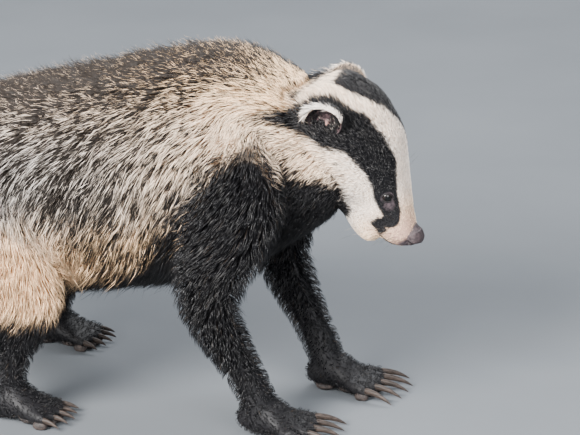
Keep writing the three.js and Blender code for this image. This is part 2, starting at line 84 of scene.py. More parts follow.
# Distance back from the nose and above the face line, half height, half width, fullness and coat.
SKULL = (
    (152, -10, 33, 42, 1, 6),
    (136, -14, 42, 52, 1, 6),
    (118, -15, 47.5, 55, 1, 5),
    (100, -14, 47.5, 53, 1, 5),
    (82, -12, 43.8, 46, 0.97, 4),
    (66, -11.5, 35.5, 37, 0.92, 3),
    (52, -12.5, 27.5, 29, 0.86, 2.5),
    (40, -15, 23.5, 24, 0.82, 2),
    (26, -17.5, 20, 19.5, 0.82, 2),
    (14, -17.5, 16.5, 16.5, 0.85, 1.5),
    (5, -15.5, 11.5, 13, 0.9, 1),
    (-1, -13.5, 6, 7, 1, 0.5),
)
JAW = (
    (92, -43, 15, 36, 1, 3),
    (70, -39, 13, 30, 1, 3),
    (50, -38, 13, 22, 1, 3),
    (38, -40, 13, 17.5, 1, 3),
    (28, -41.5, 11, 14, 1, 3),
    (20, -40, 8.5, 10, 1, 2),
    (16, -39, 4, 5, 1, 1),
)
# x, y, z, half depth, half width and coat of a left leg, from its top to its sole.
FORELEG = (
    (-8, 60, 262, 14, 10, 8),
    (2, 68, 240, 42, 26, 16),
    (10, 75, 210, 50, 31, 18),
    (2, 81, 174, 46, 31, 18),
    (-10, 84, 140, 37, 27, 16),
    (-10, 81, 110, 30, 24, 14),
    (2, 75, 82, 24, 21, 10),
    (14, 69, 58, 20, 19, 8),
    (23, 65, 38, 18, 19, 5),
    (28, 63, 20, 16, 20, 4),
    (30, 62, 6, 14, 19, 3),
)
HIND_LEG = (
    (-276, 60, 220, 24, 16, 14),
    (-262, 70, 192, 74, 34, 24),
    (-232, 80, 162, 80, 37, 24),
    (-200, 88, 134, 74, 35, 22),
    (-182, 90, 106, 56, 31, 18),
    (-184, 88, 80, 35, 25, 11),
    (-188, 86, 54, 22, 20, 7),
    (-192, 86, 34, 21, 19, 5),
    (-190, 86, 18, 21, 19, 4),
    (-188, 86, 6, 18, 18, 3),
)
TAIL = (
    (-350, 197, 14, 16, 8),
    (-378, 184, 22, 24, 15),
    (-402, 158, 24, 26, 18),
    (-420, 128, 21, 24, 17),
    (-432, 101, 15, 17, 12),
    (-438, 82, 4, 5, 3),
)
# How far each leg stands ahead of and outside the place in its table, at the floor.
STANCE = {
    "fore_left": (26, 0),
    "fore_right": (0, 0),
    "hind_left": (-36, 24),
    "hind_right": (0, 0),
}
# Pad length, toe length and radius, fan in degrees, spread, claw length and radius.
PAWS = {
    "fore": dict(pad=30, toe=24, radius=7.2, fan=9, spread=10.2, claw=25, claw_radius=3.3),
    "hind": dict(pad=34, toe=20, radius=6.6, fan=7, spread=8.8, claw=14, claw_radius=2.8),
}
PAW_COAT = 3.0
TOES = range(-2, 3)
EYE = dict(back=44.5, above=-4.8, aside=19.8, radius=5.2)
EAR = dict(aside=52, high=20, wide=18.5, thick=11)
EAR_BACK = {"left": 136, "right": 127}
EAR_ABOVE = {"left": -7, "right": 0}
EAR_TIP = {"left": 0.0, "right": 0.95}     # from this share of its height an ear's back is white
LIP_LINE = (
    (-1, -20, 3),
    (4, -26, 8.5),
    (11, -31.5, 12),
    (19, -34.5, 14),
    (28, -36, 16.5),
    (37, -35.5, 19.5),
)

# A hair's length over the depth of the coat, then each piece's count of tufts, their half width and
# whatever differs from the common style below.
COAT_RATIO = 1.75
BODY_TUFTS = dict(tufts=17000, wide=0.45, slot="grizzled_fur", ratio=0.85)
COAT_PIECES = {
    **{f"{part}_{side}": BODY_TUFTS for part in ("flank", "rump") for side in SIDES},
    "neck": dict(tufts=18500, wide=0.38, slot="pale_fur", ratio=0.9, clump=0.35),
    "thighs": dict(tufts=17500, wide=0.45, slot="buff_fur", ratio=0.85, lift=0.7, clump=0.15, stray=0.2),
    "forelegs": dict(tufts=12500, wide=0.45, slot="black_fur", ratio=0.75, clump=0.45, every=9),
    "feet": dict(tufts=9500, wide=0.36, slot="black_fur", ratio=0.8),
    "head": dict(tufts=20000, wide=0.30, slot="pale_fur", lift=0.5, clump=0.25, stray=0.16),
    "tail": dict(tufts=5500, wide=0.5, slot="buff_fur"),
}
EAR_TUFTS = dict(tufts=1600, wide=0.3)
# Length and lift as shares, lean of a lock in radians and its size, lean of a single tuft, share of
# wild tufts, droop, pull toward a clump's leader and tufts to a leader.
STYLE = dict(ratio=1.0, lift=1.0, sway=0.16, lock=11, stray=0.15, wild=0.08, droop=0.1, clump=0.6, every=5)
# Shares of a tuft's length at its stations, for the coat and for tufts that stand free.
COAT_STATIONS = (0, 0.6, 1)
FREE_STATIONS = (0, 0.35, 0.7, 1)
# Play of length, lift and standing up from tuft to tuft, and of a tuft's width.
LENGTH_PLAY, LIFT_PLAY, STAND_PLAY, WIDTH_PLAY = (0.72, 1.12), (0.6, 1.0), (0.3, 1.2), (0.7, 1.3)
# A wild tuft is longer, stands higher and is thinner than the others.
WILD = dict(longer=1.1, higher=0.25, thinner=0.6)
# How deep in the skin a tuft starts, the least share of its rise that it keeps, and the most share of
# a step that it is pulled down.
ROOT_DEPTH, LEAST_RISE, MOST_PULL = 0.5, 0.25, 0.3
# How a tuft levels off toward its tip, and how steeply it may fall and climb.
CURL = 1.7
CLIMB = (-0.3, 0.95)
# Width of a tuft along its length, its thickness to its width, and its least height over the floor.
TUFT_PROFILE = ((0, 0.3, 0.7, 1), (0.75, 1, 0.8, 0))
TUFT_THICKNESS = 0.6
FLOOR_GAP = 0.05
BLACK_EDGE = 0.35         # how far the black markings fray from tuft to tuft
LEADER_TONE = 0.5         # share of tufts that take the tone of their leader
TUFT_CHART = 0.003        # size of a tuft on the unwrap
# What each random draw adds to the seed.
DRAWS = dict(whiskers=60, coat=100, nape=150, ear_back=200, ear_rim=210, ear_inner=220)
# Where the rump and the neck begin, and each leg's upper piece with the height of its foot.
RUMP_X = -172
NECK_START_X = -6
LEG_PIECES = {"fore": ("forelegs", 62), "hind": ("thighs", 78)}
SKIN_VOXEL = 2.6
LEAST_SKIN = 10000        # fewer points mean that the remeshing failed
TUBE_BLEND = 6.0          # how far the fields of two tubes run into each other
FINE_AT_EYE, FINE_AT_LIP = 12, 6     # reach of the finest part of the skin
# Bounds of the parts that are relaxed less or made finer: by height, by distance back and by x.
FEET_TOP, MUZZLE_BACK, FACE_BACK, THROAT, HEAD_X = 34, 60, 78, -70, 60
# Rings and sides of the tubes before they are joined, and the share of the coat that is left off them.
TUBE_GRIDS = {"trunk": (60, 64), "other": (36, 40), "toe": (12, 14)}
CORE_UNDER = {"skull": 0.65, "jaw": 0.65}
SEED = 20


def on_head(back, above, aside=0.0):
    """A point given by its distance back from the nose, above the face line and to the left."""
    back, above, aside = np.broadcast_arrays(back, above, aside)
    across = np.stack([0 * aside, aside, 0 * aside], axis=-1)
    return NOSE_TIP - FACE * back[..., None] + CROWN * above[..., None] + across


def head_measures(points):
    """Distances back from the nose, above the face line and to the left."""
    gap = points - NOSE_TIP
    return -gap @ FACE, gap @ CROWN, gap[:, 1]


def middle_of(node):
    low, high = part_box(node)
    return np.array((low + high) / 2) / MM


# The place of the animal's own zero in the frame.
SHIFT = middle_of("eye_left") - on_head(EYE["back"], EYE["above"], EYE["aside"])


def unit(vectors):
    return vectors / np.maximum(np.linalg.norm(vectors, axis=-1, keepdims=True), 1e-9)


def dot(a, b):
    return (a * b).sum(axis=-1)


def smooth(value, low, high):
    """0 below low, 1 above high, and a smooth rise between; high may be the lower one."""
    share = np.clip((value - low) / (high - low), 0, 1)
    return share * share * (3 - 2 * share)


def waves(points, size, seed):
    """A smooth pattern from about -1 to 1 with bumps of a size in millimetres."""
    draw = np.random.default_rng(seed)
    total = np.zeros(len(points))
    for _ in range(5):
        way = unit(draw.normal(size=3)) * draw.uniform(0.7, 1.4)
        total += np.sin(points @ way * (2 * math.pi / size) + draw.uniform(0, 6.3))
    return total / 2.5


def ring_grid(rings, sides, end):
    """By point of a loft: a value that runs from 0 to end over its rings, and the turn round it."""
    run, turn = np.meshgrid(np.linspace(0, end, rings), np.arange(sides) / sides * 2 * math.pi,
                            indexing="ij")
    return run.ravel(), turn.ravel()


def grid_faces(rings, sides, looped=False):
    """Faces of a loft of closed rings, whose two ends are filled or whose last ring meets its first."""
    faces = []
    for i in range(rings if looped else rings - 1):
        here, after = i * sides, (i + 1) % rings * sides
        for j in range(sides):
            k = (j + 1) % sides
            faces.append((here + j, here + k, after + k, after + j))
    if not looped:
        faces.append(tuple(range(sides))[::-1])
        faces.append(tuple((rings - 1) * sides + j for j in range(sides)))
    return faces


def joined(parts):
    """Points and faces of several parts as one."""
    faces, count = [], 0
    for points, made in parts:
        faces += [tuple(i + count for i in face) for face in made]
        count += len(points)
    return np.concatenate([points for points, _ in parts]), faces


class Tube:
    """A closed tube through sections of x, y, z, half height, half width, fullness and coat. The
    turn round it starts at the top, or a leg's front, and passes the animal's left."""

    def __init__(self, sections):
        self.sections = np.array(sections, float)

    def at(self, t):
        rows = self.sections
        last = len(rows) - 1
        place = np.clip(t, 0, 1) * last
        first = np.minimum(np.floor(place).astype(int), last - 1)
        f = (place - first)[..., None]
        a, b, c, d = (rows[np.clip(first + step, 0, last)] for step in (-1, 0, 1, 2))
        return b + 0.5 * f * (c - a + f * (2 * a - 5 * b + 4 * c - d + f * (3 * (b - c) + d - a)))

    def frame(self, t):
        """Section, direction along, to the side and up, and millimetres for a whole t."""
        run = self.at(t + 0.01)[..., :3] - self.at(t - 0.01)[..., :3]
        along = unit(run)
        side = unit(np.array([0.0, 1.0, 0.0]) - along * along[..., 1:2])
        up = np.cross(along, side)
        speed = np.linalg.norm(run, axis=-1) / 0.02
        return self.at(t), along, side, up, speed

    def halves(self, section, under):
        high = np.maximum(section[..., 3] - section[..., 6] * under, 0.4)
        wide = np.maximum(section[..., 4] - section[..., 6] * under, 0.4)
        return high, wide

    def point(self, t, turn, under=0.0):
        """Points on the tube, a share of the coat's depth below the tips."""
        section, _, side, up, _ = self.frame(t)
        high, wide = self.halves(section, under)
        full = section[..., 5]
        rise = np.sign(np.cos(turn)) * np.abs(np.cos(turn)) ** full * high
        reach = np.sign(np.sin(turn)) * np.abs(np.sin(turn)) ** full * wide
        return section[..., :3] + up * rise[..., None] + side * reach[..., None]

    def locate(self, points, under=1.0):
        """For each point: t, turn, distance outside the tube, frame and depth of the coat."""
        steps = np.linspace(0, 1, 49)
        centres = self.at(steps)[:, :3]
        nearest = np.zeros(len(points), int)
        least = np.full(len(points), 1e18)
        for index, centre in enumerate(centres):
            gap = ((points - centre) ** 2).sum(axis=1)
            closer = gap < least
            nearest[closer] = index
            least[closer] = gap[closer]
        t = steps[nearest]
        for _ in range(3):
            section, along, side, up, speed = self.frame(t)
            t = np.clip(t + 0.8 * dot(points - section[:, :3], along) / speed, 0, 1)
        section, along, side, up, speed = self.frame(t)
        gap = points - section[:, :3]
        high, wide = self.halves(section, under)
        full = section[:, 5]
        rise, reach = dot(gap, up), dot(gap, side)
        cosine = np.sign(rise) * np.abs(rise / high) ** (1 / full)
        sine = np.sign(reach) * np.abs(reach / wide) ** (1 / full)
        turn = np.arctan2(sine, cosine)
        share = np.maximum(np.hypot(cosine, sine) ** full, 1e-3)
        radius = np.hypot(rise, reach)
        outside = radius * (1 - 1 / share)
        past = np.abs(dot(gap, along))
        outside = np.where(past > 1.5, np.hypot(np.maximum(outside, 0), past), outside)
        return dict(t=t, turn=turn, outside=outside, along=along, side=side, up=up,
                    coat=section[:, 6])

    def mesh(self, rings, sides, under=1.0):
        """Points and faces of the closed surface."""
        t, turn = ring_grid(rings, sides, 1)
        return self.point(t, turn, under), grid_faces(rings, sides)


def body_tube(table):
    """A tube in the middle plane, through x, z, half height, half width and coat."""
    return Tube([(x, 0, z, high, wide, 1, coat) for x, z, high, wide, coat in table])


def head_tube(table):
    """A tube along the head, through distances back and above, halves, fullness and coat."""
    return Tube([(*on_head(back, above), *sizes) for back, above, *sizes in table])


def leg_tube(table, pair, name):
    """A leg's tube, moved toward the floor by its stance."""
    ahead, out = STANCE[f"{pair}_{name}"]
    top = table[0][2]
    sections = []
    for x, y, z, high, wide, coat in table:
        down = 1 - z / top
        sections.append((x + ahead * down, (y + out * down) * SIDES[name], z, high, wide, 1, coat))
    return Tube(sections)


def paw_tube(ankle, sizes):
    """The pad of a foot from heel to toes, its centre line along x."""
    x, y = ankle
    front = x + sizes["pad"]
    rows = (
        (x - 22, 10, 6, 9),
        (x - 14, 13, 14, 16),
        (x + 4, 16, 18, 20),
        (front - 14, 12, 14, 23),
        (front, 9, 10, 22),
        (front + 7, 7, 5, 17),
    )
    return Tube([(px, y, z, high, wide, 1, PAW_COAT) for px, z, high, wide in rows])


def toe_run(ankle, side, sizes, index):
    """Root and direction of one toe, index from -2 to 2."""
    x, y = ankle
    heading = side * index * math.radians(sizes["fan"])
    root = np.array([x + sizes["pad"] - 6 - index * index * 1.4, y + side * index * sizes["spread"]])
    return root, np.array([math.cos(heading), math.sin(heading)])


def toe_tube(ankle, side, sizes, index):
    root, way = toe_run(ankle, side, sizes, index)
    r = sizes["radius"]
    rows = ((0, 9, 0.9, 0.65), (0.45, 9.5, 1.05, 0.74), (0.85, 7, 0.95, 0.72), (1, 5.5, 0.5, 0.4))
    sections = []
    for run, z, high, wide in rows:
        x, y = root + way * sizes["toe"] * run
        sections.append((x, y, z, r * high, r * wide, 1, 1.2))
    return Tube(sections)


def limbs():
    """Pair, side name, leg tube and ankle of the four legs."""
    made = []
    for pair, table in (("fore", FORELEG), ("hind", HIND_LEG)):
        for name in SIDES:
            tube = leg_tube(table, pair, name)
            made.append((pair, name, tube, tuple(tube.sections[-1][:2])))
    return made


def trunk_drift(t, turn):
    """How far the trunk's hair leans from straight back toward the belly."""
    flank = np.maximum(np.abs(np.sin(turn)), 0) ** 1.5
    chest, neck = np.radians(56), np.radians(12)
    most = chest + (neck - chest) * smooth(t, 0.5, 0.85)
    return np.sign(turn) * flank * most


def skull_drift(_, turn):
    """On the head the hair leans toward the throat below the eye stripe."""
    return np.sign(turn) * np.radians(38) * smooth(np.abs(turn), math.radians(70), math.radians(115))


def leg_drift(_, turn):
    """On a leg the hair leans toward its back."""
    return np.sign(turn) * np.abs(np.sin(turn)) * math.radians(28)


def no_drift(_, turn):
    """Hair that runs straight along."""
    return np.zeros_like(turn)


def regions():
    """Every tube of the body with its name, the way of its hair and its place on the unwrap, as
    left, bottom, width and height."""
    made = [
        ("trunk", body_tube(TRUNK), -1, trunk_drift, (0.01, 0.01, 0.98, 0.39)),
        ("skull", head_tube(SKULL), -1, skull_drift, (0.01, 0.42, 0.58, 0.2)),
        ("jaw", head_tube(JAW), -1, no_drift, (0.61, 0.42, 0.38, 0.1)),
        ("tail", body_tube(TAIL), 1, no_drift, (0.61, 0.54, 0.38, 0.08)),
    ]
    for index, (pair, name, tube, ankle) in enumerate(limbs()):
        left = 0.01 + 0.5 * (index % 2)
        bottom = 0.64 + 0.14 * (index // 2)
        made.append((f"{pair}_{name}", tube, 1, leg_drift, (left, bottom, 0.48, 0.12)))
        left = 0.01 + 0.25 * index
        pad = paw_tube(ankle, PAWS[pair])
        made.append((f"{pair}paw_{name}", pad, 1, no_drift, (left, 0.92, 0.22, 0.07)))
    return made


# Markings. The eye stripe lies between two turns round the skull, by distance back from the nose.
STRIPE_BACK = (17, 20, 26, 35, 43, 53, 63, 71, 86, 106, 115, 122, 132, 140, 146, 152)
STRIPE_TOP = (76, 62, 48, 44, 43, 34, 29, 30, 31, 34, 37, 40, 42, 46, 56, 74)
STRIPE_LOW_BACK = (17, 20, 27, 32, 41, 48, 57, 70, 82, 94, 105, 120, 132, 146)
STRIPE_LOW = (76, 95, 108, 92, 91, 89, 82, 80, 79, 79, 86, 98, 106, 114)
CHEEK_BACK = (44, 48, 57, 66, 76, 84, 93, 110, 140)
CHEEK_LOW = (160, 143, 137, 125, 120, 119, 119, 116, 112)
# The stripe's end on the neck, and the edges of the black of chest and foreleg, by x and z.
NECK_X = (24, 39, 51, 60, 71, 80)
NECK_TOP = (280, 283, 286, 291, 292, 288)
NECK_LOW = (274, 270, 265, 259, 250, 246)
CHEST_REAR_Z = (110, 124, 137, 166, 199, 237, 262)
CHEST_REAR_X = (-110, -91, -74, -53, -38, -10, 31)
CHEST_FRONT_X = (33, 36, 49, 57, 70, 110)
CHEST_FRONT_Z = (262, 256, 243, 226, 222, 205)
FAR_STRIPE_BACK = (17, 20, 26, 43, 60, 80, 95, 108, 120, 134, 150)
FAR_STRIPE_TOP = (76, 62, 48, 43, 29, 16, 4, -7, -17, -25, -34)


def band(value, low, high, soft):
    return smooth(value, low - soft, low + soft) * (1 - smooth(value, high - soft, high + soft))


def markings(points, spots, share):
    """Black, white, warm and grizzle of the coat at each point of its surface, each from 0 to 1.
    spots are the places on every tube and share the weight of every tube."""
    back = head_measures(points)[0]
    x, y, z = points.T
    frayed = waves(points, 14, 3)
    skull, trunk = spots["skull"], spots["trunk"]
    turned_left = np.degrees(skull["turn"])
    turn = np.abs(turned_left) + 1.5 * frayed
    low = np.interp(back, STRIPE_LOW_BACK, STRIPE_LOW)
    around = np.abs(np.degrees(trunk["turn"])) + 4 * frayed
    on_skull = share["skull"] + share["jaw"]
    stripe = band(1.5 * frayed - turned_left, np.interp(back, STRIPE_BACK, STRIPE_TOP), low, 2.5)
    far = band(1.5 * frayed + turned_left, np.interp(back, FAR_STRIPE_BACK, FAR_STRIPE_TOP), low, 2.5)
    stripe = np.maximum(stripe, far)
    stripe *= band(back, 17, 153, 2.0) * smooth(on_skull, 0.15, 0.4)
    # The stripe's tail behind the lip, its end on the neck and its run along the nape.
    lip_tail = band(back, 18, 33, 2) * band(turn, 97, 136, 3)
    stripe = np.maximum(stripe, lip_tail * smooth(on_skull, 0.1, 0.4))
    tail_end = band(z + 2 * frayed, np.interp(x, NECK_X, NECK_LOW), np.interp(x, NECK_X, NECK_TOP), 3.5)
    tail_end *= smooth(x, 14, 32) * smooth(np.abs(y), 14, 26) * (1 - smooth(x, 84, 96))
    stripe = np.maximum(stripe, tail_end)
    nape = band(np.degrees(trunk["turn"]) + 4 * frayed, 9, 60, 5) * band(x, -30, 84, 16)
    stripe = np.maximum(stripe, 0.8 * nape * (1 - smooth(on_skull, 0.4, 0.8)))
    # Black below the cheeks, of the chest, the lips, the belly and the legs.
    cheek = np.interp(back, CHEEK_BACK, CHEEK_LOW)
    throat = smooth(turn, cheek - 4, cheek + 5)
    throat *= smooth(back, 42, 50) * smooth(on_skull, 0.3, 0.7)
    behind = x - np.interp(z, CHEST_REAR_Z, CHEST_REAR_X) + 7 * frayed
    below = np.interp(x, CHEST_FRONT_X, CHEST_FRONT_Z) - z + 4 * frayed
    chest = smooth(behind, -24, 20) * smooth(below, -8, 10) * (1 - smooth(on_skull, 0.4, 0.8))
    chest *= smooth(x, -170, -120)
    lips = np.minimum(*(distance_to_line(points, lip_path(side)) for side in SIDES.values()))
    lips = (1 - smooth(lips, 1.8, 3.2)) * smooth(on_skull, 0.3, 0.7) * (1 - smooth(back, 24, 30))
    belly = smooth(around, 132, 152) * share["trunk"] * smooth(x, -250, -190)
    hind = sum(share[f"hind_{name}"] + share[f"hindpaw_{name}"] for name in SIDES)
    inner = hind * smooth(np.abs(y), 66, 50)
    shin = hind * (1 - smooth(z + 5 * frayed, 78, 98))
    fore = sum(share[f"fore_{name}"] + share[f"forepaw_{name}"] for name in SIDES)
    fore = fore * (1 - smooth(z, 120, 170))
    black = np.maximum.reduce([stripe, throat, lips, chest, belly, 0.7 * inner, shin, fore])
    black = np.clip(black, 0, 1)
    # White on the head turns to cream along the neck and ends on the shoulder.
    crest = 1 - smooth(around, 25, 70)
    ahead = x + 8 * frayed - 45 * crest * (1 - smooth(x, 0, 50))
    white = np.interp(ahead, (-150, -70, -10, 30, 60), (0.0, 0.35, 0.85, 1.0, 1.0))
    white *= 1 - share["tail"]
    # Silver on the flanks, buff low down and on the thighs, brown on the back.
    under = 1 - smooth(z + 8 * frayed, 130, 200)
    warm = 0.1 + 0.8 * under * smooth(x, -330, -140) + 0.45 * crest + 0.5 * smooth(x, -220, 20)
    buff = hind * (1 - smooth(z + 10 * frayed, 140, 215))
    warm = np.maximum(warm, buff)
    neck = np.clip(warm, 0, 0.9)
    face = 0.14 + 0.3 * smooth(back, 80, 150) + 0.6 * (1 - smooth(back, 14, 46))
    warm = neck + (face - neck) * smooth(on_skull, 0.2, 0.8)
    grizzle = 0.19 + 0.75 * smooth(x + 12 * frayed, 30, -130) * (1 - 0.45 * under)
    grizzle += 1.1 * (1 - smooth(around, 16, 52)) * smooth(x, 60, -30)
    grizzle *= (1 - 0.5 * share["tail"]) * (1 - buff) * (1 - smooth(on_skull, 0.3, 0.8))
    return np.stack([black, np.clip(white * (1 - black), 0, 1), warm, grizzle], axis=-1)


def fields(points, normals):
    """Flow, length, depth, markings, place on the unwrap and main tube at each point of a skin."""
    names, spots, weights, flows, charts = [], {}, [], [], []
    for name, tube, way, drift, chart in regions():
        spot = tube.locate(points)
        lean = drift(spot["t"], spot["turn"])
        turn = spot["turn"][:, None]
        round_it = spot["side"] * np.cos(turn) - spot["up"] * np.sin(turn)
        flow = way * spot["along"] * np.cos(lean)[:, None] + round_it * np.sin(lean)[:, None]
        left, bottom, width, height = chart
        u = left + spot["t"] * width
        v = bottom + (spot["turn"] / (2 * math.pi) + 0.5) * height
        names.append(name)
        spots[name] = spot
        weights.append(-spot["outside"] / TUBE_BLEND)
        flows.append(flow)
        charts.append(np.stack([u, v], axis=-1))
    weights = np.array(weights)
    weights = np.exp(weights - weights.max(axis=0))
    weights /= weights.sum(axis=0)
    share = dict(zip(names, weights))
    flow = sum(w[:, None] * f for w, f in zip(weights, flows))
    flow = unit(flow - normals * dot(flow, normals)[:, None])
    coat = sum(w * spots[name]["coat"] for name, w in share.items())
    kind = markings(points + normals * coat[:, None], spots, share)
    main = weights.argmax(axis=0)
    chart = np.array(charts)[main, np.arange(len(points))]
    return dict(flow=flow, coat=coat, kind=kind, chart=chart, main=main, names=names, share=share,
                spots=spots)


def piece_of(points, main, names):
    """The coat piece that each point belongs to."""
    x, y, z = points.T
    name = np.array(names)[main]
    piece = np.where(y > 0, "flank_left", "flank_right").astype("U16")
    rump = x <= RUMP_X
    piece[rump] = np.where(y > 0, "rump_left", "rump_right")[rump]
    piece[x > NECK_START_X] = "neck"
    for pair, (upper, height) in LEG_PIECES.items():
        leg = np.char.startswith(name, pair)
        piece[leg & (z >= height)] = upper
        piece[leg & (z < height)] = "feet"
    piece[name == "tail"] = "tail"
    piece[(name == "skull") | (name == "jaw")] = "head"
    return piece


# Meshes

def new_object(name, mesh, material, replaces=(), ride=True):
    """A finished piece with its material and the nodes that it stands for."""
    made = bpy.data.objects.new(name, mesh)
    bpy.context.scene.collection.objects.link(made)
    made.data.materials.append(material)
    if ride:
        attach(made, BODY)
    if replaces:
        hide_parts(*replaces)
    return made


def to_frame(points):
    return (np.asarray(points, float) + SHIFT) * MM


def polygon_mesh(name, points, faces, flat=False):
    """A mesh from points in millimetres and faces of any size."""
    mesh = bpy.data.meshes.new(name)
    mesh.from_pydata(to_frame(points).tolist(), [], [tuple(int(i) for i in f) for f in faces])
    if not flat:
        mesh.shade_smooth()
    return mesh


def triangle_mesh(name, points, triangles):
    """A mesh from arrays of points in millimetres and of triangles."""
    mesh = bpy.data.meshes.new(name)
    mesh.vertices.add(len(points))
    mesh.vertices.foreach_set("co", to_frame(points).astype(np.float32).ravel())
    mesh.loops.add(triangles.size)
    mesh.loops.foreach_set("vertex_index", triangles.astype(np.int32).ravel())
    mesh.polygons.add(len(triangles))
    mesh.polygons.foreach_set("loop_start", np.arange(0, triangles.size, 3, dtype=np.int32))
    mesh.update(calc_edges=True)
    mesh.shade_smooth()
    return mesh


# Kind and field of a named attribute, by how many numbers it has.
ATTRIBUTES = {1: ("FLOAT", "value"), 2: ("FLOAT2", "vector"), 3: ("FLOAT_VECTOR", "vector"),
              4: ("FLOAT_COLOR", "color")}


def put(mesh, **named):
    """Stores arrays as attributes of the mesh's points, under their own names."""
    for name, values in named.items():
        values = np.asarray(values, np.float32)
        kind, field = ATTRIBUTES[values.size // len(values)]
        mesh.attributes.new(name, kind, "POINT").data.foreach_set(field, values.ravel())


def put_unwrap(mesh, uv):
    mesh.uv_layers.new(name="OFBake").data.foreach_set("uv", uv.astype(np.float32).ravel())


def read(items, field, width=1, kind=np.float32):
    """One field of all items of a mesh, as an array."""
    values = np.zeros(len(items) * width, kind)
    items.foreach_get(field, values)
    return values.reshape(-1, width) if width > 1 else values


def get(mesh, name, width=1):
    return read(mesh.attributes[name].data, ATTRIBUTES[width][1], width)


def coordinates(mesh):
    """Points in millimetres and normals."""
    co, normals = (read(mesh.vertices, field, 3).astype(float) for field in ("co", "normal"))
    return co / MM - SHIFT, normals


def set_coordinates(mesh, points):
    mesh.vertices.foreach_set("co", to_frame(points).astype(np.float32).ravel())
    mesh.update()


def triangles_of(mesh):
    mesh.calc_loop_triangles()
    return read(mesh.loop_triangles, "vertices", 3, np.int32)


def evaluated(work):
    """The plain mesh of a working object with its modifiers, and the object removed."""
    depsgraph = bpy.context.evaluated_depsgraph_get()
    made = bpy.data.meshes.new_from_object(work.evaluated_get(depsgraph))
    work.modifiers.clear()
    bpy.data.objects.remove(work)
    return made


def relaxed(mesh, values, rounds, share):
    """Values moved toward the mean of their neighbours', by a share that may differ by point."""
    a, b = read(mesh.edges, "vertices", 2, np.int32).T
    size = len(values)
    count = np.bincount(a, minlength=size) + np.bincount(b, minlength=size)
    share = np.broadcast_to(share, size)[:, None]
    for _ in range(rounds):
        total = [np.bincount(a, column[b], size) + np.bincount(b, column[a], size) for column in values.T]
        mean = np.stack(total, axis=-1) / np.maximum(count, 1)[:, None]
        values = values + (mean - values) * share
    return values


# Skin

def body_surface():
    """All tubes joined into one closed skin by remeshing."""
    parts = []
    for name, tube, *_ in regions():
        grid = TUBE_GRIDS["trunk" if name == "trunk" else "other"]
        parts.append(tube.mesh(*grid, CORE_UNDER.get(name, 1.0)))
    for pair, name, _, ankle in limbs():
        for index in TOES:
            parts.append(toe_tube(ankle, SIDES[name], PAWS[pair], index).mesh(*TUBE_GRIDS["toe"]))
    mesh = polygon_mesh("skin_work", *joined(parts))
    work = bpy.data.objects.new("skin_work", mesh)
    bpy.context.scene.collection.objects.link(work)
    remesh = work.modifiers.new("voxels", "REMESH")
    remesh.mode = "VOXEL"
    remesh.voxel_size = SKIN_VOXEL * MM
    made = evaluated(work)
    bpy.data.meshes.remove(mesh)
    made.name = "skin"
    return made


def refine(mesh, inside):
    """Halves the edges whose both ends are inside, and splits faces left with over four corners."""
    work = bmesh.new()
    work.from_mesh(mesh)
    edges = [e for e in work.edges if inside[e.verts[0].index] and inside[e.verts[1].index]]
    bmesh.ops.subdivide_edges(work, edges=edges, cuts=1, use_grid_fill=True)
    bmesh.ops.triangulate(work, faces=[f for f in work.faces if len(f.verts) > 4])
    work.to_mesh(mesh)
    work.free()


def eye_frame(side):
    """Centre of an eyeball, its gaze, the line from its rear to its inner corner, and up."""
    centre = on_head(EYE["back"], EYE["above"], side * EYE["aside"])
    gaze = unit(0.5 * FACE + 0.3 * CROWN + np.array([0.0, side, 0.0]))
    tilt = math.radians(40)
    across = FACE * math.cos(tilt) + CROWN * math.sin(tilt)
    across = unit(across - gaze * dot(across, gaze))
    return centre, gaze, across, np.cross(gaze, across) * -side


def distance_to_line(points, line):
    """Distance from each point to a line through points."""
    least = np.full(len(points), 1e9)
    for start, end in zip(line[:-1], line[1:]):
        way = end - start
        t = np.clip((points - start) @ way / (way @ way), 0, 1)
        least = np.minimum(least, np.linalg.norm(points - start - t[:, None] * way, axis=1))
    return least


def lip_path(side):
    """The line between the lips, from the nose to the corner of the mouth."""
    return np.array([on_head(back, above, side * aside) for back, above, aside in LIP_LINE])


# Relief of the face: distance back, above and aside, radius and height of each swelling.
SWELLINGS = (
    (58, 2, 17, 9, 1.6),       # brow
    (33, -8, 15, 5, -1.2),     # furrow before the eye
    (14, -23, 14, 8, 1.3),     # whisker pad
    (31, -24, 19, 7, -0.8),    # hollow behind the pad
    (66, -24, 34, 15, 2.0),    # cheek
    (22, -42, 10, 6, 0.8),     # lower lip
)
# Depth and width of the lip groove, and height, distance and width of the roll beside it.
LIP_GROOVE = (1.3, 1.3)
LIP_ROLL = (0.5, 2.6, 1.4)
# The eye socket: its reach, the half angle of its cone and the radius of its floor.
SOCKET = dict(reach=13, angle=48, floor=3.8)


def bell(gap, width):
    return np.exp(-((gap / width) ** 2))


def sculpt(points, normals):
    """Swellings of the face, lip groove and eye sockets."""
    moved = points.copy()
    for side in SIDES.values():
        for back, above, aside, radius, height in SWELLINGS:
            gap = np.linalg.norm(points - on_head(back, above, side * aside), axis=1)
            moved += normals * (height * bell(gap, radius))[:, None]
        gap = distance_to_line(points, lip_path(side))
        depth, width = LIP_GROOVE
        moved -= normals * (depth * bell(gap, width))[:, None]
        height, distance, width = LIP_ROLL
        moved += normals * (height * bell(gap - distance, width))[:, None]
        centre, gaze, _, _ = eye_frame(side)
        gap = moved - centre
        far = np.linalg.norm(gap, axis=1)
        angle = np.degrees(np.arccos(np.clip(dot(gap, gaze) / np.maximum(far, 1e-6), -1, 1)))
        sunk = (far < SOCKET["reach"]) & (angle < SOCKET["angle"])
        floor = np.minimum(far[sunk], SOCKET["floor"])
        moved[sunk] = centre + gap[sunk] / far[sunk, None] * floor[:, None]
    return moved


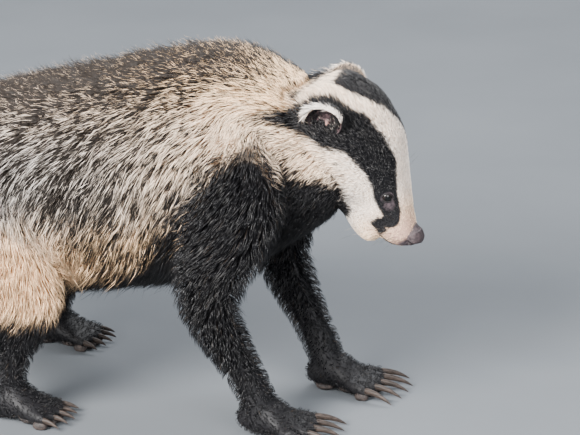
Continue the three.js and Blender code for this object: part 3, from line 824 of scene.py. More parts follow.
def skin_fields(mesh):
    """Stores the lie, depth and markings of the coat and the masks of the skin as attributes."""
    points, normals = coordinates(mesh)
    made = fields(points, normals)
    share, spots, black = made["share"], made["spots"], made["kind"][:, 0]
    back, above, _ = head_measures(points)
    # Bare round the eye, along the lip, on the nose and under the feet.
    bare = np.zeros(len(points))
    for side in SIDES.values():
        to_eye = np.linalg.norm(points - eye_frame(side)[0], axis=1)
        bare = np.maximum(bare, 1 - smooth(to_eye, 5.4, 6.8))
        bare = np.maximum(bare, 1 - smooth(distance_to_line(points, lip_path(side)), 1.0, 2.0))
        below_eye = np.linalg.norm(points - on_head(37.5, -7, side * 19), axis=1)
        bare = np.maximum(bare, 0.85 * (1 - smooth(below_eye, 3.5, 6.5)))
    bare = np.maximum(bare, (1 - smooth(back, 3, 7)) * smooth(above, -26, -22))
    bare = np.maximum(bare, 1 - smooth(points[:, 2], 2, 5))
    thin = 0.5 * (1 - smooth(back, 14, 34)) * (1 - black)
    pink = (1 - smooth(back, 12, 46)) * smooth(above, -44, -30) * (1 - black)
    flow = relaxed(mesh, made["flow"], 24, 0.7)
    flow = unit(flow - normals * dot(flow, normals)[:, None])
    coat = relaxed(mesh, made["coat"][:, None], 36, 0.8)
    # Hair stands up along the back and beside the crown.
    around = np.abs(np.degrees(spots["trunk"]["turn"]))
    stand = 0.3 * (1 - smooth(around, 20, 60)) * share["trunk"]
    fringe = band(np.degrees(spots["skull"]["turn"]), 2, 50, 6) * band(back, 66, 150, 10)
    stand = np.maximum(stand, 0.35 * fringe * share["skull"])
    put(mesh, stand=stand, flow=flow, coat=coat, kind=made["kind"], chart=made["chart"], bare=bare,
        thin=thin, main=made["main"], pink=pink)


def unwrap_skin(mesh):
    """The OFBake map: every face takes the place of its own tube, with no seam inside a face."""
    corner = read(mesh.loops, "vertex_index", 1, np.int32)
    start, size = (read(mesh.polygons, field, 1, np.int32) for field in ("loop_start", "loop_total"))
    chart = get(mesh, "chart", 2)
    uv = chart[corner]
    lead = chart[np.repeat(corner[start], size)]
    apart = np.abs(uv - lead).max(axis=1) > 0.03
    uv[apart] = lead[apart]
    put_unwrap(mesh, uv)


def make_skin():
    """The skin, relaxed, refined on the face, sculpted and given its attributes."""
    mesh = body_surface()
    # Feet keep their toes, and the muzzle its edges.
    points, _ = coordinates(mesh)
    share = np.where(points[:, 2] < FEET_TOP, 0.25, 0.6)
    share = np.where((head_measures(points)[0] < MUZZLE_BACK) & (points[:, 0] > HEAD_X), 0.4, share)
    points = relaxed(mesh, points, 5, share)
    # The nape is relaxed further, so that neck and head join in one line.
    nape = band(head_measures(points)[0], 120, 196, 16) * smooth(points[:, 2], 215, 245)
    set_coordinates(mesh, relaxed(mesh, points, 24, 0.7 * nape))
    points, _ = coordinates(mesh)
    back, above, _ = head_measures(points)
    refine(mesh, (back < FACE_BACK) & (above > THROAT) & (points[:, 0] > HEAD_X - 10))
    points, _ = coordinates(mesh)
    fine = np.zeros(len(points), bool)
    for side in SIDES.values():
        fine |= np.linalg.norm(points - eye_frame(side)[0], axis=1) < FINE_AT_EYE
        fine |= distance_to_line(points, lip_path(side)) < FINE_AT_LIP
    refine(mesh, fine)
    points, _ = coordinates(mesh)
    face = np.where(head_measures(points)[0] < 80, 0.5, 0.0)
    set_coordinates(mesh, relaxed(mesh, points, 3, face))
    points = sculpt(*coordinates(mesh))
    points[:, 2] = np.maximum(points[:, 2], 1.0)
    set_coordinates(mesh, points)
    skin_fields(mesh)
    unwrap_skin(mesh)
    mesh.shade_smooth()
    return mesh


# Coat

def point_tree(points):
    tree = KDTree(len(points))
    for index, point in enumerate(points.tolist()):
        tree.insert(point, index)
    tree.balance()
    return tree


def nearest_in(tree, points):
    return np.array([tree.find(point)[1] for point in points.tolist()])


class Hide:
    """A surface that tufts grow on, read back from a mesh and its attributes."""

    def __init__(self, mesh):
        self.points, self.normals = coordinates(mesh)
        self.triangles = triangles_of(mesh)
        self.flow, self.kind, self.chart = (
            get(mesh, name, width).astype(float) for name, width in (("flow", 3), ("kind", 4), ("chart", 2)))
        self.coat, self.bare, self.stand, self.thin = (
            get(mesh, name).astype(float) for name in ("coat", "bare", "stand", "thin"))
        corners = self.points[self.triangles]
        cross = np.cross(corners[:, 1] - corners[:, 0], corners[:, 2] - corners[:, 0])
        self.area = np.linalg.norm(cross, axis=1) / 2
        self.tree = point_tree(self.points)

    def nearest(self, points):
        return nearest_in(self.tree, points)

    def draw_roots(self, chosen, count, draw, weight):
        """Corner indices and shares of roots spread evenly over the chosen triangles."""
        area = self.area[chosen] * weight
        total = np.cumsum(area)
        marks = (np.arange(count) + draw.uniform(0, 1, count)) / count * total[-1]
        triangle = chosen[np.minimum(np.searchsorted(total, marks), len(chosen) - 1)]
        a, b = draw.uniform(0, 1, (2, count))
        over = a + b > 1
        a[over], b[over] = 1 - a[over], 1 - b[over]
        return self.triangles[triangle], np.stack([1 - a - b, a, b], axis=-1)


def turned(flow, normal, angle):
    """The flow turned about the normal."""
    side = np.cross(normal, flow)
    return flow * np.cos(angle)[:, None] + side * np.sin(angle)[:, None]


def drawing(name, step=0):
    """The random draws of one kind of piece."""
    return np.random.default_rng(sizes().seed + DRAWS[name] + step)


def tuft_paths(hide, roots, shares, draw, style):
    """Stations of every tuft along the surface, the last at its tip, and what is read at its root."""
    def at_root(values):
        return (values[roots] * shares[..., None]).sum(axis=1)

    root = at_root(hide.points)
    normal = unit(at_root(hide.normals))
    coat = at_root(hide.coat[:, None])[:, 0]
    count = len(root)
    sway = style["sway"] * waves(root, style["lock"] * 2.6, 5)
    sway += style["sway"] * 0.7 * waves(root, style["lock"] * 1.1, 6)
    sway += draw.normal(0, style["stray"], count)
    wild = draw.uniform(0, 1, count) < style["wild"]
    length = coat * style["ratio"] * draw.uniform(*LENGTH_PLAY, count)
    length *= np.where(wild, WILD["longer"], 1.0)
    higher = np.where(wild, WILD["higher"], 0.0)
    lift = draw.uniform(*LIFT_PLAY, count) * style["lift"] + higher * style["lift"]
    lift += at_root(hide.stand[:, None])[:, 0] * draw.uniform(*STAND_PLAY, count)
    point = root - normal * ROOT_DEPTH
    path = [point]
    kinds = [at_root(hide.kind)]
    here_normal = normal
    here_flow = turned(unit(at_root(hide.flow)), normal, sway)
    height = np.full(count, -ROOT_DEPTH)
    for before, after in zip(COAT_STATIONS[:-1], COAT_STATIONS[1:]):
        step = (length * (after - before))[:, None]
        rise = coat * lift * (1 - (1 - after) ** CURL)
        climb = np.clip((rise - height)[:, None] / step, *CLIMB)
        way = here_flow * np.sqrt(1 - climb ** 2) + here_normal * climb
        way = unit(way - np.array([0, 0, style["droop"] * after]))
        point = point + way * step
        index = hide.nearest(point)
        near_normal = hide.normals[index]
        height_now = dot(point - hide.points[index], near_normal)
        wanted = np.maximum(height_now, LEAST_RISE * rise)
        point = point + near_normal * np.clip(wanted - height_now, 0, None)[:, None]
        pull = np.clip(height_now - rise, 0, MOST_PULL * step[:, 0])
        point = point - near_normal * pull[:, None]
        height = wanted - pull
        here_normal = near_normal
        here_flow = turned(hide.flow[index], near_normal, sway)
        path.append(point)
        kinds.append(hide.kind[index])
    # The markings along a tuft lean toward those below its tip.
    kind = 0.6 * np.stack(kinds, axis=1) + 0.4 * kinds[-1][:, None]
    return dict(path=np.stack(path, axis=1), stations=COAT_STATIONS, normal=normal, wild=wild, kind=kind,
                root=root, chart=hide.chart[roots[:, 0]])


def clumped(path, root, draw, share, every):
    """Tips drawn toward those of leading tufts near by, so that hair gathers in locks, and each
    tuft's leader."""
    leaders = draw.permutation(len(root))[:max(len(root) // every, 1)]
    lead = leaders[nearest_in(point_tree(root[leaders]), root)]
    run = np.array(COAT_STATIONS)[None, :, None] ** 1.4
    return path + (path[lead] - path) * run * share, lead


def tuft_mesh(name, grown, wide, draw, lead):
    """Closed three-sided tufts as one mesh with its attributes and the OFBake map."""
    path, normal, stations = grown["path"], grown["normal"], grown["stations"]
    count, rings = path.shape[0], path.shape[1] - 1
    direction = unit(np.concatenate([path[:, 1:] - path[:, :-1], path[:, -1:] - path[:, -2:-1]], axis=1))
    across = unit(np.cross(direction, normal[:, None, :]))
    out = np.cross(across, direction)
    wide = wide * draw.uniform(*WIDTH_PLAY, count) * np.where(grown["wild"], WILD["thinner"], 1.0)
    profile = np.interp(stations, *TUFT_PROFILE)
    corners = np.radians([90, 210, 330])
    ring = []
    for station in range(rings):
        size = (wide * profile[station])[:, None, None]
        offset = (across[:, station, None] * np.cos(corners)[None, :, None]
                  + out[:, station, None] * (TUFT_THICKNESS * np.sin(corners))[None, :, None])
        ring.append(path[:, station, None] + offset * size)
    points = np.concatenate([np.concatenate(ring, axis=1), path[:, -1:]], axis=1)
    per = points.shape[1]
    faces = [(2, 1, 0)]
    for station in range(rings - 1):
        for c in range(3):
            a, b = 3 * station + c, 3 * station + (c + 1) % 3
            faces += [(a, b, b + 3), (a, b + 3, a + 3)]
    last = 3 * (rings - 1)
    faces += [(last + c, last + (c + 1) % 3, per - 1) for c in range(3)]
    faces = np.array(faces)
    first = points[0][faces]
    if dot(first[:, 0], np.cross(first[:, 1], first[:, 2])).sum() < 0:
        faces = faces[:, ::-1]
    triangles = (faces[None] + (np.arange(count) * per)[:, None, None]).reshape(-1, 3)
    points[..., 2] = np.maximum(points[..., 2], FLOOR_GAP)
    mesh = triangle_mesh(name, points.reshape(-1, 3), triangles)
    run = np.append(np.repeat(stations[:-1], 3), 1.0)
    own = draw.uniform(0, 1, count)
    tone = np.where(draw.uniform(0, 1, count) < LEADER_TONE, own[lead], own)
    kind = grown["kind"][:, np.append(np.repeat(np.arange(rings), 3), rings)]
    edge = draw.uniform(-BLACK_EDGE, BLACK_EDGE, (count, 1))
    kind[..., 0] = smooth(kind[..., 0] + edge, 0.3, 0.7)
    put(mesh, along=np.tile(run, count), tone=np.repeat(tone, per), kind=kind.reshape(-1, 4))
    spot = np.stack([run - 0.5, np.append(np.tile([-0.5, 0, 0.5], rings), 0)], axis=-1) * TUFT_CHART
    uv = (grown["chart"][:, None] + spot[None]).reshape(-1, 2)[triangles.ravel()]
    put_unwrap(mesh, uv)
    return mesh


def grow_piece(hide, chosen, name, tufts, draw):
    """One coat piece on the chosen triangles: tufts with their own style where they give it."""
    style = {**STYLE, **{key: tufts[key] for key in STYLE if key in tufts}}
    style["ratio"] = style["ratio"] * sizes().coat_length
    fewer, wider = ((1.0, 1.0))
    bare = np.maximum(hide.bare, hide.thin)
    weight = np.maximum(1 - bare[hide.triangles[chosen]].max(axis=1), 0)
    roots, shares = hide.draw_roots(chosen, int(tufts["tufts"] * fewer), draw, weight)
    grown = tuft_paths(hide, roots, shares, draw, style)
    grown["path"], lead = clumped(grown["path"], grown["root"], draw, style["clump"], style["every"])
    return tuft_mesh(name, grown, tufts["wide"] * sizes().tuft_width * wider, draw, lead)


# Node trees

def add(tree, kind, inputs=None, **settings):
    """Adds a node, sets its settings, and sets or links its inputs."""
    node = tree.nodes.new(kind)
    for name, value in settings.items():
        setattr(node, name, value)
    for key, value in (inputs or {}).items():
        if isinstance(value, bpy.types.NodeSocket):
            tree.links.new(value, node.inputs[key])
        else:
            node.inputs[key].default_value = value
    return node


def calc(tree, operation, *values):
    return add(tree, "ShaderNodeMath", dict(enumerate(values)), operation=operation).outputs[0]


def times(tree, first, second):
    return calc(tree, "MULTIPLY", first, second)


def rise(tree, value, low, high, start=0.0, end=1.0):
    """A smooth step of value from low to high."""
    inputs = {"Value": value, "From Min": low, "From Max": high, "To Min": start, "To Max": end}
    node = add(tree, "ShaderNodeMapRange", inputs, interpolation_type="SMOOTHSTEP")
    return node.outputs[0]


def mixed(tree, share, first, second, way="MIX"):
    inputs = {0: share, 6: first, 7: second}
    return add(tree, "ShaderNodeMix", inputs, data_type="RGBA", blend_type=way).outputs[2]


def noise(tree, vector, scale, detail=3.0):
    inputs = {"Vector": vector, "Scale": scale, "Detail": detail, "Roughness": 0.55}
    return add(tree, "ShaderNodeTexNoise", inputs).outputs[0]


def place(tree):
    """Object coordinates in metres."""
    return add(tree, "ShaderNodeTexCoord").outputs["Object"]


def attribute(tree, name):
    """A number that the mesh carries."""
    return add(tree, "ShaderNodeAttribute", attribute_name=name).outputs["Fac"]


def bumped(tree, height, strength, distance):
    inputs = {"Strength": strength, "Distance": distance, "Height": height}
    return add(tree, "ShaderNodeBump", inputs).outputs[0]


def new_tree(name, kind, inputs, output, output_kind):
    """A node group with its sockets: the tree, what it reads and what it puts out."""
    tree = bpy.data.node_groups.new(name, kind)
    for label, socket in inputs.items():
        tree.interface.new_socket(label, in_out="INPUT", socket_type="NodeSocket" + socket)
    tree.interface.new_socket(output, in_out="OUTPUT", socket_type="NodeSocket" + output_kind)
    return tree, tree.nodes.new("NodeGroupInput").outputs, tree.nodes.new("NodeGroupOutput").inputs


# Colours of the finishes that a user doesn't change.
# Painted shade deep in the coat: these darken pale and grizzled hair toward its root.
PAINTED_ROOT_SHADE_PALE, PAINTED_ROOT_SHADE_GRIZZLED = (0.80, 0.66, 0.52, 1), (0.30, 0.26, 0.23, 1)
STAIN = (0.6, 0.47, 0.33, 1)
PORE = (0.07, 0.045, 0.04, 1)
EYE_SKIN = (0.028, 0.021, 0.024, 1), (0.11, 0.08, 0.088, 1)
# Painted shade inside the nostrils.
PAINTED_NOSTRIL_SHADE = (0.002, 0.0015, 0.0015, 1)
EAR_FLESH = (0.05, 0.03, 0.032, 1), (0.11, 0.07, 0.075, 1)
EAR_FOLD = (0.55, 0.30, 0.25, 1)
EAR_OUTSIDE = (0.012, 0.010, 0.010, 1)
IRIS_FIBRE, PUPIL, EYE_RING = (0.012, 0.006, 0.004, 1), (0.001, 0.001, 0.001, 1), (0.01, 0.007, 0.007, 1)
CLAW_STREAK = (0.055, 0.040, 0.033, 1)
WHISKER = (0.012, 0.010, 0.010, 1), (0.30, 0.26, 0.22, 1)
FLOOR = (0.112, 0.123, 0.135, 1), (0.126, 0.137, 0.149, 1)
# Dark and light colour, scale of the grain and roughness of each bare leather.
LEATHERS = {
    "badger nose": ((0.026, 0.018, 0.020, 1), (0.065, 0.045, 0.048, 1), 2200.0, 0.42),
    "badger lid": ((0.004, 0.0035, 0.004, 1), (0.014, 0.010, 0.011, 1), 1800.0, 0.5),
    "badger pad": ((0.02, 0.016, 0.015, 1), (0.06, 0.045, 0.04, 1), 900.0, 0.55),
}
# The colour inputs of the hair group, and the property that each takes.
HAIR_COLOURS = {"Silver": "silver", "Buff": "buff", "Band": "band", "Black hair": "black",
                "White hair": "white", "Cream": "cream"}


def material_once(name, build):
    return bpy.data.materials.get(name) or build(name)


def tree_once(name, build):
    return bpy.data.node_groups.get(name) or build(name)


def hair_colour_group(name):
    """Banded badger hair: pale root darkened by painted shade, dark band and pale tip, with its black and
    white markings.
    """
    inputs = dict.fromkeys(("Along", "Tone", "Black", "White", "Warm", "Grizzle"), "Float")
    inputs.update(dict.fromkeys(HAIR_COLOURS, "Color"))
    tree, read, out = new_tree(name, "ShaderNodeTree", inputs, "Color", "Color")
    # Base: silver to buff, or white to cream on head and neck. Toward the root grizzled hair turns buff, and
    # painted shade darkens all hair as if deep in the coat.
    base = mixed(tree, read["Warm"], read["Silver"], read["Buff"])
    pale = mixed(tree, read["Warm"], read["White hair"], read["Cream"])
    base = mixed(tree, read["White"], base, pale)
    other = calc(tree, "FRACT", times(tree, read["Tone"], 13.7))
    light = calc(tree, "MULTIPLY_ADD", other, 0.45, 0.76)
    root = rise(tree, read["Along"], 0.0, 0.55)
    shade = mixed(tree, read["Grizzle"], PAINTED_ROOT_SHADE_PALE, PAINTED_ROOT_SHADE_GRIZZLED)
    under = mixed(tree, read["Grizzle"], base, read["Buff"])
    base = mixed(tree, root, mixed(tree, 1.0, under, shade, "MULTIPLY"), base)
    base = mixed(tree, 1.0, base, light, "MULTIPLY")
    # Dark band below a pale tip, on as many hairs as the grizzle says.
    reach = calc(tree, "MULTIPLY_ADD", other, 0.26, calc(tree, "SUBTRACT", read["Along"], 0.13))
    tip = calc(tree, "MULTIPLY_ADD", read["Grizzle"], 0.12, 0.74)
    pale_tip = times(tree, calc(tree, "SUBTRACT", reach, tip), 14.0)
    dark = times(tree, rise(tree, reach, 0.2, 0.36), rise(tree, pale_tip, 0.0, 1.0, 1.0, 0.0))
    share = calc(tree, "SUBTRACT", read["Grizzle"], read["Tone"])
    dark = times(tree, dark, rise(tree, share, -0.03, 0.05))
    coat = mixed(tree, dark, base, read["Band"])
    # Black markings, some of them with slightly paler tips: partly real pale tips, partly painted glints of
    # light.
    pale_tip_and_glint = times(tree, rise(tree, read["Along"], 0.55, 1.0), rise(tree, other, 0.6, 1.0))
    black = mixed(tree, times(tree, pale_tip_and_glint, 0.12), read["Black hair"], read["Silver"])
    tree.links.new(mixed(tree, read["Black"], coat, black), out["Color"])
    return tree


def grain_group(name):
    """Fine relief of bare or short-haired skin."""
    inputs = {"Scale": "Float", "Folds": "Float"}
    tree, read, out = new_tree(name, "ShaderNodeTree", inputs, "Height", "Float")
    where = place(tree)
    cells = add(tree, "ShaderNodeTexVoronoi", {"Vector": where, "Scale": read["Scale"]},
                feature="DISTANCE_TO_EDGE").outputs[0]
    pebble = rise(tree, cells, 0.0, 0.35)
    soft = noise(tree, where, times(tree, read["Scale"], 0.3), 4.0)
    height = calc(tree, "MULTIPLY_ADD", soft, read["Folds"], pebble)
    tree.links.new(height, out["Height"])
    return tree


def grained(tree, scale, folds, strength):
    """A normal with the relief of the grain group."""
    inputs = {"Scale": scale, "Folds": folds}
    group = add(tree, "ShaderNodeGroup", inputs, node_tree=tree_once("badger skin grain", grain_group))
    return bumped(tree, group.outputs[0], strength, 0.0003)


def new_material(name, **shader):
    """A material with its Principled shader, and the shader's inputs set."""
    material = bpy.data.materials.new(name)
    material.use_nodes = True
    principled = material.node_tree.nodes["Principled BSDF"]
    for label, value in shader.items():
        principled.inputs[label.replace("_", " ")].default_value = value
    return material, material.node_tree


def finished(material, **sockets):
    """Links sockets to inputs of the material's shader."""
    tree = material.node_tree
    for label, value in sockets.items():
        tree.links.new(value, tree.nodes["Principled BSDF"].inputs[label.replace("_", " ")])
    return material


def colours():
    return bpy.context.scene.badger_colours


def sizes():
    return bpy.context.scene.badger_sizes


def rgba(value):
    return (*value[:3], 1.0)


def hair_colour(tree, along, tone):
    """The hair's colour by the markings that its mesh carries, and the share of black."""
    kind = add(tree, "ShaderNodeAttribute", attribute_name="kind").outputs
    black, white, warm = add(tree, "ShaderNodeSeparateColor", {0: kind["Color"]}).outputs
    inputs = {"Along": along, "Tone": tone, "Black": black, "White": white, "Warm": warm,
              "Grizzle": kind["Alpha"]}
    for label, name in HAIR_COLOURS.items():
        inputs[label] = rgba(getattr(colours(), name))
    hair = tree_once("badger hair colour", hair_colour_group)
    group = add(tree, "ShaderNodeGroup", inputs, node_tree=hair)
    return group.outputs["Color"], black


def coat_material(name):
    material, tree = new_material(name, Specular_IOR_Level=0.35)
    colour, black = hair_colour(tree, attribute(tree, "along"), attribute(tree, "tone"))
    stain = rise(tree, noise(tree, place(tree), 22.0, 4.0), 0.35, 0.7, 0.0, 0.16)
    colour = mixed(tree, stain, colour, STAIN, "MULTIPLY")
    return finished(material, Base_Color=colour, Roughness=calc(tree, "MULTIPLY_ADD", black, -0.18, 0.52))


def skin_material(name):
    """Short fur as colour and relief, pink skin on the muzzle and dark skin where it is bare."""
    material, tree = new_material(name, Roughness=0.6, Specular_IOR_Level=0.3)
    where = place(tree)
    streak = noise(tree, where, 900.0, 2.0)
    tone = noise(tree, where, 350.0, 2.0)
    # Along stays low, so the hair group's painted root shade darkens the skin like the shade under the coat.
    colour = hair_colour(tree, rise(tree, streak, 0.3, 0.7, 0.2, 0.5), tone)[0]
    pores = rise(tree, noise(tree, where, 620.0, 2.0), 0.56, 0.68)
    muzzle = mixed(tree, times(tree, pores, 0.6), rgba(colours().pink), PORE)
    colour = mixed(tree, times(tree, attribute(tree, "pink"), 0.9), colour, muzzle)
    dark = mixed(tree, rise(tree, tone, 0.3, 0.7), *EYE_SKIN)
    colour = mixed(tree, attribute(tree, "bare"), colour, dark)
    relief = bumped(tree, calc(tree, "ADD", streak, tone), 0.35, 0.0006)
    return finished(material, Base_Color=colour, Normal=relief)


def leather_material(name):
    """Bare leathery skin: nose, pads and lids."""
    dark, light, scale, roughness = LEATHERS[name]
    material, tree = new_material(name, Specular_IOR_Level=0.35)
    blotch = noise(tree, place(tree), scale * 0.25, 4.0)
    colour = mixed(tree, rise(tree, blotch, 0.35, 0.65), dark, light)
    # The nostrils are painted near black: painted shade in their hollows.
    colour = mixed(tree, attribute(tree, "hollow"), colour, PAINTED_NOSTRIL_SHADE)
    rough = rise(tree, blotch, 0.2, 0.8, roughness - 0.08, roughness + 0.1)
    return finished(material, Base_Color=colour, Normal=grained(tree, scale, 0.6, 0.5), Roughness=rough)


def ear_material(name):
    """Dark outside, blotched flesh inside, and its pink fold."""
    material, tree = new_material(name, Roughness=0.55, Specular_IOR_Level=0.35)
    blotch = rise(tree, noise(tree, place(tree), 260.0), 0.35, 0.65)
    flesh = mixed(tree, attribute(tree, "fold"), mixed(tree, blotch, *EAR_FLESH), EAR_FOLD)
    colour = mixed(tree, attribute(tree, "inside"), EAR_OUTSIDE, flesh)
    return finished(material, Base_Color=colour, Normal=grained(tree, 1200.0, 1.0, 0.4))


def eye_material(name):
    """A dark wet eye: a black pupil in a deep brown iris, told apart by distance from its pole."""
    material, tree = new_material(name, Roughness=0.1, Specular_IOR_Level=0.3, Coat_Weight=0.25,
                                  Coat_Roughness=0.03)
    pole = attribute(tree, "pole")
    fibres = rise(tree, noise(tree, place(tree), 2600.0), 0.35, 0.7)
    iris = mixed(tree, fibres, rgba(colours().iris), IRIS_FIBRE)
    colour = mixed(tree, rise(tree, pole, 0.30, 0.36), PUPIL, iris)
    return finished(material, Base_Color=mixed(tree, rise(tree, pole, 0.75, 0.95), colour, EYE_RING))


def claw_material(name):
    """Horn with streaks along the claw."""
    material, tree = new_material(name, Roughness=0.5, Specular_IOR_Level=0.2)
    along = add(tree, "ShaderNodeMapping", {"Vector": place(tree), "Scale": (60, 900, 900)}).outputs[0]
    streak = noise(tree, along, 1.0)
    colour = mixed(tree, rise(tree, streak, 0.3, 0.7), rgba(colours().claw), CLAW_STREAK)
    return finished(material, Base_Color=colour, Normal=bumped(tree, streak, 0.3, 0.0002))


def whisker_material(name):
    material, tree = new_material(name, Roughness=0.35)
    tone = noise(tree, place(tree), 120.0, 1.0)
    return finished(material, Base_Color=mixed(tree, rise(tree, tone, 0.4, 0.6), *WHISKER))


def floor_material(name):
    material, tree = new_material(name, Roughness=0.75, Specular_IOR_Level=0.3)
    soft = noise(tree, place(tree), 3.0, 4.0)
    return finished(material, Base_Color=mixed(tree, rise(tree, soft, 0.3, 0.7), *FLOOR))


# Head pieces

# Rings and sides, and radius of the ball and height of its cornea as shares of the eye's radius.
EYEBALL = dict(grid=(28, 40), ball=0.96, cornea=0.06, cornea_angle=32)
PAD_GRID = (14, 22)


def sphere_ways(rings, sides, pole, across, up):
    """Directions over a sphere, ring by ring from its pole, and their angle from it."""
    angle, turn = ring_grid(rings, sides, math.pi)
    way = (pole * np.cos(angle)[:, None] + across * (np.sin(angle) * np.cos(turn))[:, None]
           + up * (np.sin(angle) * np.sin(turn))[:, None])
    return way, angle


def eyeball(side):
    """An eye with a slightly bulging cornea, and how far each point is from its pole."""
    centre, gaze, across, up = eye_frame(side)
    way, angle = sphere_ways(*EYEBALL["grid"], gaze, across, up)
    angle = np.degrees(angle)
    radius = EYE["radius"] * (EYEBALL["ball"] + EYEBALL["cornea"] * bell(angle, EYEBALL["cornea_angle"]))
    return centre + way * radius[:, None], grid_faces(*EYEBALL["grid"]), angle / 90


def clean(mesh):
    """Merges doubles and turns every face outwards."""
    work = bmesh.new()
    work.from_mesh(mesh)
    bmesh.ops.remove_doubles(work, verts=work.verts, dist=0.02 * MM)
    bmesh.ops.dissolve_degenerate(work, edges=work.edges, dist=0.001 * MM)
    bmesh.ops.recalc_face_normals(work, faces=work.faces)
    work.to_mesh(mesh)
    work.free()
    return mesh


# Half width of the eye's opening, and its half height above and below.
EYE_OPENING = dict(wide=4.6, upper=3.5, lower=3.0)
# Section of the lids from their wet inner edge: share of the opening, and height over the eyeball.
LID_PROFILE = ((1.0, -0.5), (0.98, 0.15), (1.04, 0.55), (1.16, 0.7), (1.34, 0.5), (1.55, 0.5),
               (1.85, 0.1), (2.3, -0.7), (2.3, -1.8), (1.3, -1.6))


def lid_rings(side):
    """The lids: rings round the eyeball from the wet inner edge out into the skin."""
    centre, gaze, across, up = eye_frame(side)
    turn = np.arange(64) / 64 * 2 * math.pi
    upper = np.sin(turn) > 0
    half = np.where(upper, EYE_OPENING["upper"], EYE_OPENING["lower"])
    x = EYE_OPENING["wide"] * np.sign(np.cos(turn)) * np.abs(np.cos(turn)) ** 0.9
    y = half * np.sign(np.sin(turn)) * np.abs(np.sin(turn)) ** 1.25
    far = np.hypot(x, y)
    outward = across * (x / far)[:, None] + up * (y / far)[:, None]
    heavy = 1 + 0.25 * np.where(upper, np.sin(turn), 0)
    rings = []
    for share, above in LID_PROFILE:
        angle = far * share / EYE["radius"]
        way = gaze * np.cos(angle)[:, None] + outward * np.sin(angle)[:, None]
        radius = EYE["radius"] + above * (heavy if above > 0 else 1)
        rings.append(centre + way * np.broadcast_to(radius, angle.shape)[:, None])
    return rings


# Sections of the nose leather as of the skull, with no coat.
NOSE_LEATHER = (
    (12, -8.5, 3.0, 4.0, 1, 0),
    (10, -8.5, 5.0, 7.0, 0.95, 0),
    (6, -10.2, 7.4, 11.0, 0.9, 0),
    (2, -11.0, 7.7, 11.4, 0.88, 0),
    (-1.6, -11.3, 7.1, 10.4, 0.88, 0),
    (-3.6, -11.6, 5.4, 8.2, 0.9, 0),
    (-4.5, -11.9, 2.6, 4.4, 1, 0),
)
# The comma of the left nostril: distance back, above and aside.
NOSTRIL = ((-5, -11, 3.8), (-4, -11.8, 6.6), (-1.5, -13.6, 9.2), (1.5, -15.4, 10.8), (4.5, -16.8, 11.4))
# Width and depth of the nostril by distance from the middle.
NOSTRIL_ASIDE = (3, 5, 9, 13)
NOSTRIL_WIDE = (2.0, 2.4, 1.8, 1.0)
NOSTRIL_DEEP = (4.2, 4.6, 2.8, 1.0)


def nose_points():
    """The nose leather with comma-shaped nostrils and a groove, and how deep in them a point is, which the
    finish paints near black as shade.
    """
    points, faces = head_tube(NOSE_LEATHER).mesh(64, 96, 0.0)
    back, _, aside = head_measures(points)
    middle = on_head(3, -10.5)
    wide = np.interp(np.abs(aside), NOSTRIL_ASIDE, NOSTRIL_WIDE)
    depth = np.interp(np.abs(aside), NOSTRIL_ASIDE, NOSTRIL_DEEP)
    hollow = np.zeros(len(points))
    for side in SIDES.values():
        path = np.array([on_head(b, a, side * s) for b, a, s in NOSTRIL])
        gap = distance_to_line(points, path)
        inward = unit(middle - points)
        sunk = np.exp(-((gap / wide) ** 4))
        hollow = np.maximum(hollow, sunk)
        points = points + inward * (depth * sunk)[:, None]
        points = points - inward * (0.5 * bell(gap - wide - 0.9, 0.9))[:, None]
    groove = bell(aside, 0.7) * smooth(-back, -4, 1)
    points = points + unit(middle - points) * (0.9 * groove)[:, None]
    return points, faces, hollow


def ear_frame(name):
    """Middle of an ear's cup, and the ways across it, out of its opening and up to its tip."""
    side = SIDES[name]
    up, opening = (face * FACE + crown * CROWN + np.array([0.0, side * out, 0.0])
                   for face, crown, out in (EAR_LEAN_UP, EAR_LEAN_OUT))
    up = unit(up)
    opening = unit(opening - up * dot(opening, up))
    across = np.cross(opening, up)
    return on_head(EAR_BACK[name], EAR_ABOVE[name], side * EAR["aside"]), across, opening, up


EAR_SHELL = dict(inset=2.4, wall=1.5, rings=22, sides=56, rim=math.acos(-0.36))
EAR_FOLD_X = 0.08         # place of the fold inside an ear, as a share of its width toward the front
EAR_LEAN_UP, EAR_LEAN_OUT = (-0.6, 0.66, 0.5), (0.35, -0.3, 0.9)
# White rim: hairs, the arc that they stand on, from the front, and their half width.
EAR_RIM = dict(count=620, start=14, sweep=146, wide=0.34, chart=(0.9, 0.985))
EAR_INNER = dict(count=1500, reach=0.86, wide=0.3, chart=(0.95, 0.985))
NAPE = dict(count=1500, dark=0.75, wide=0.3)


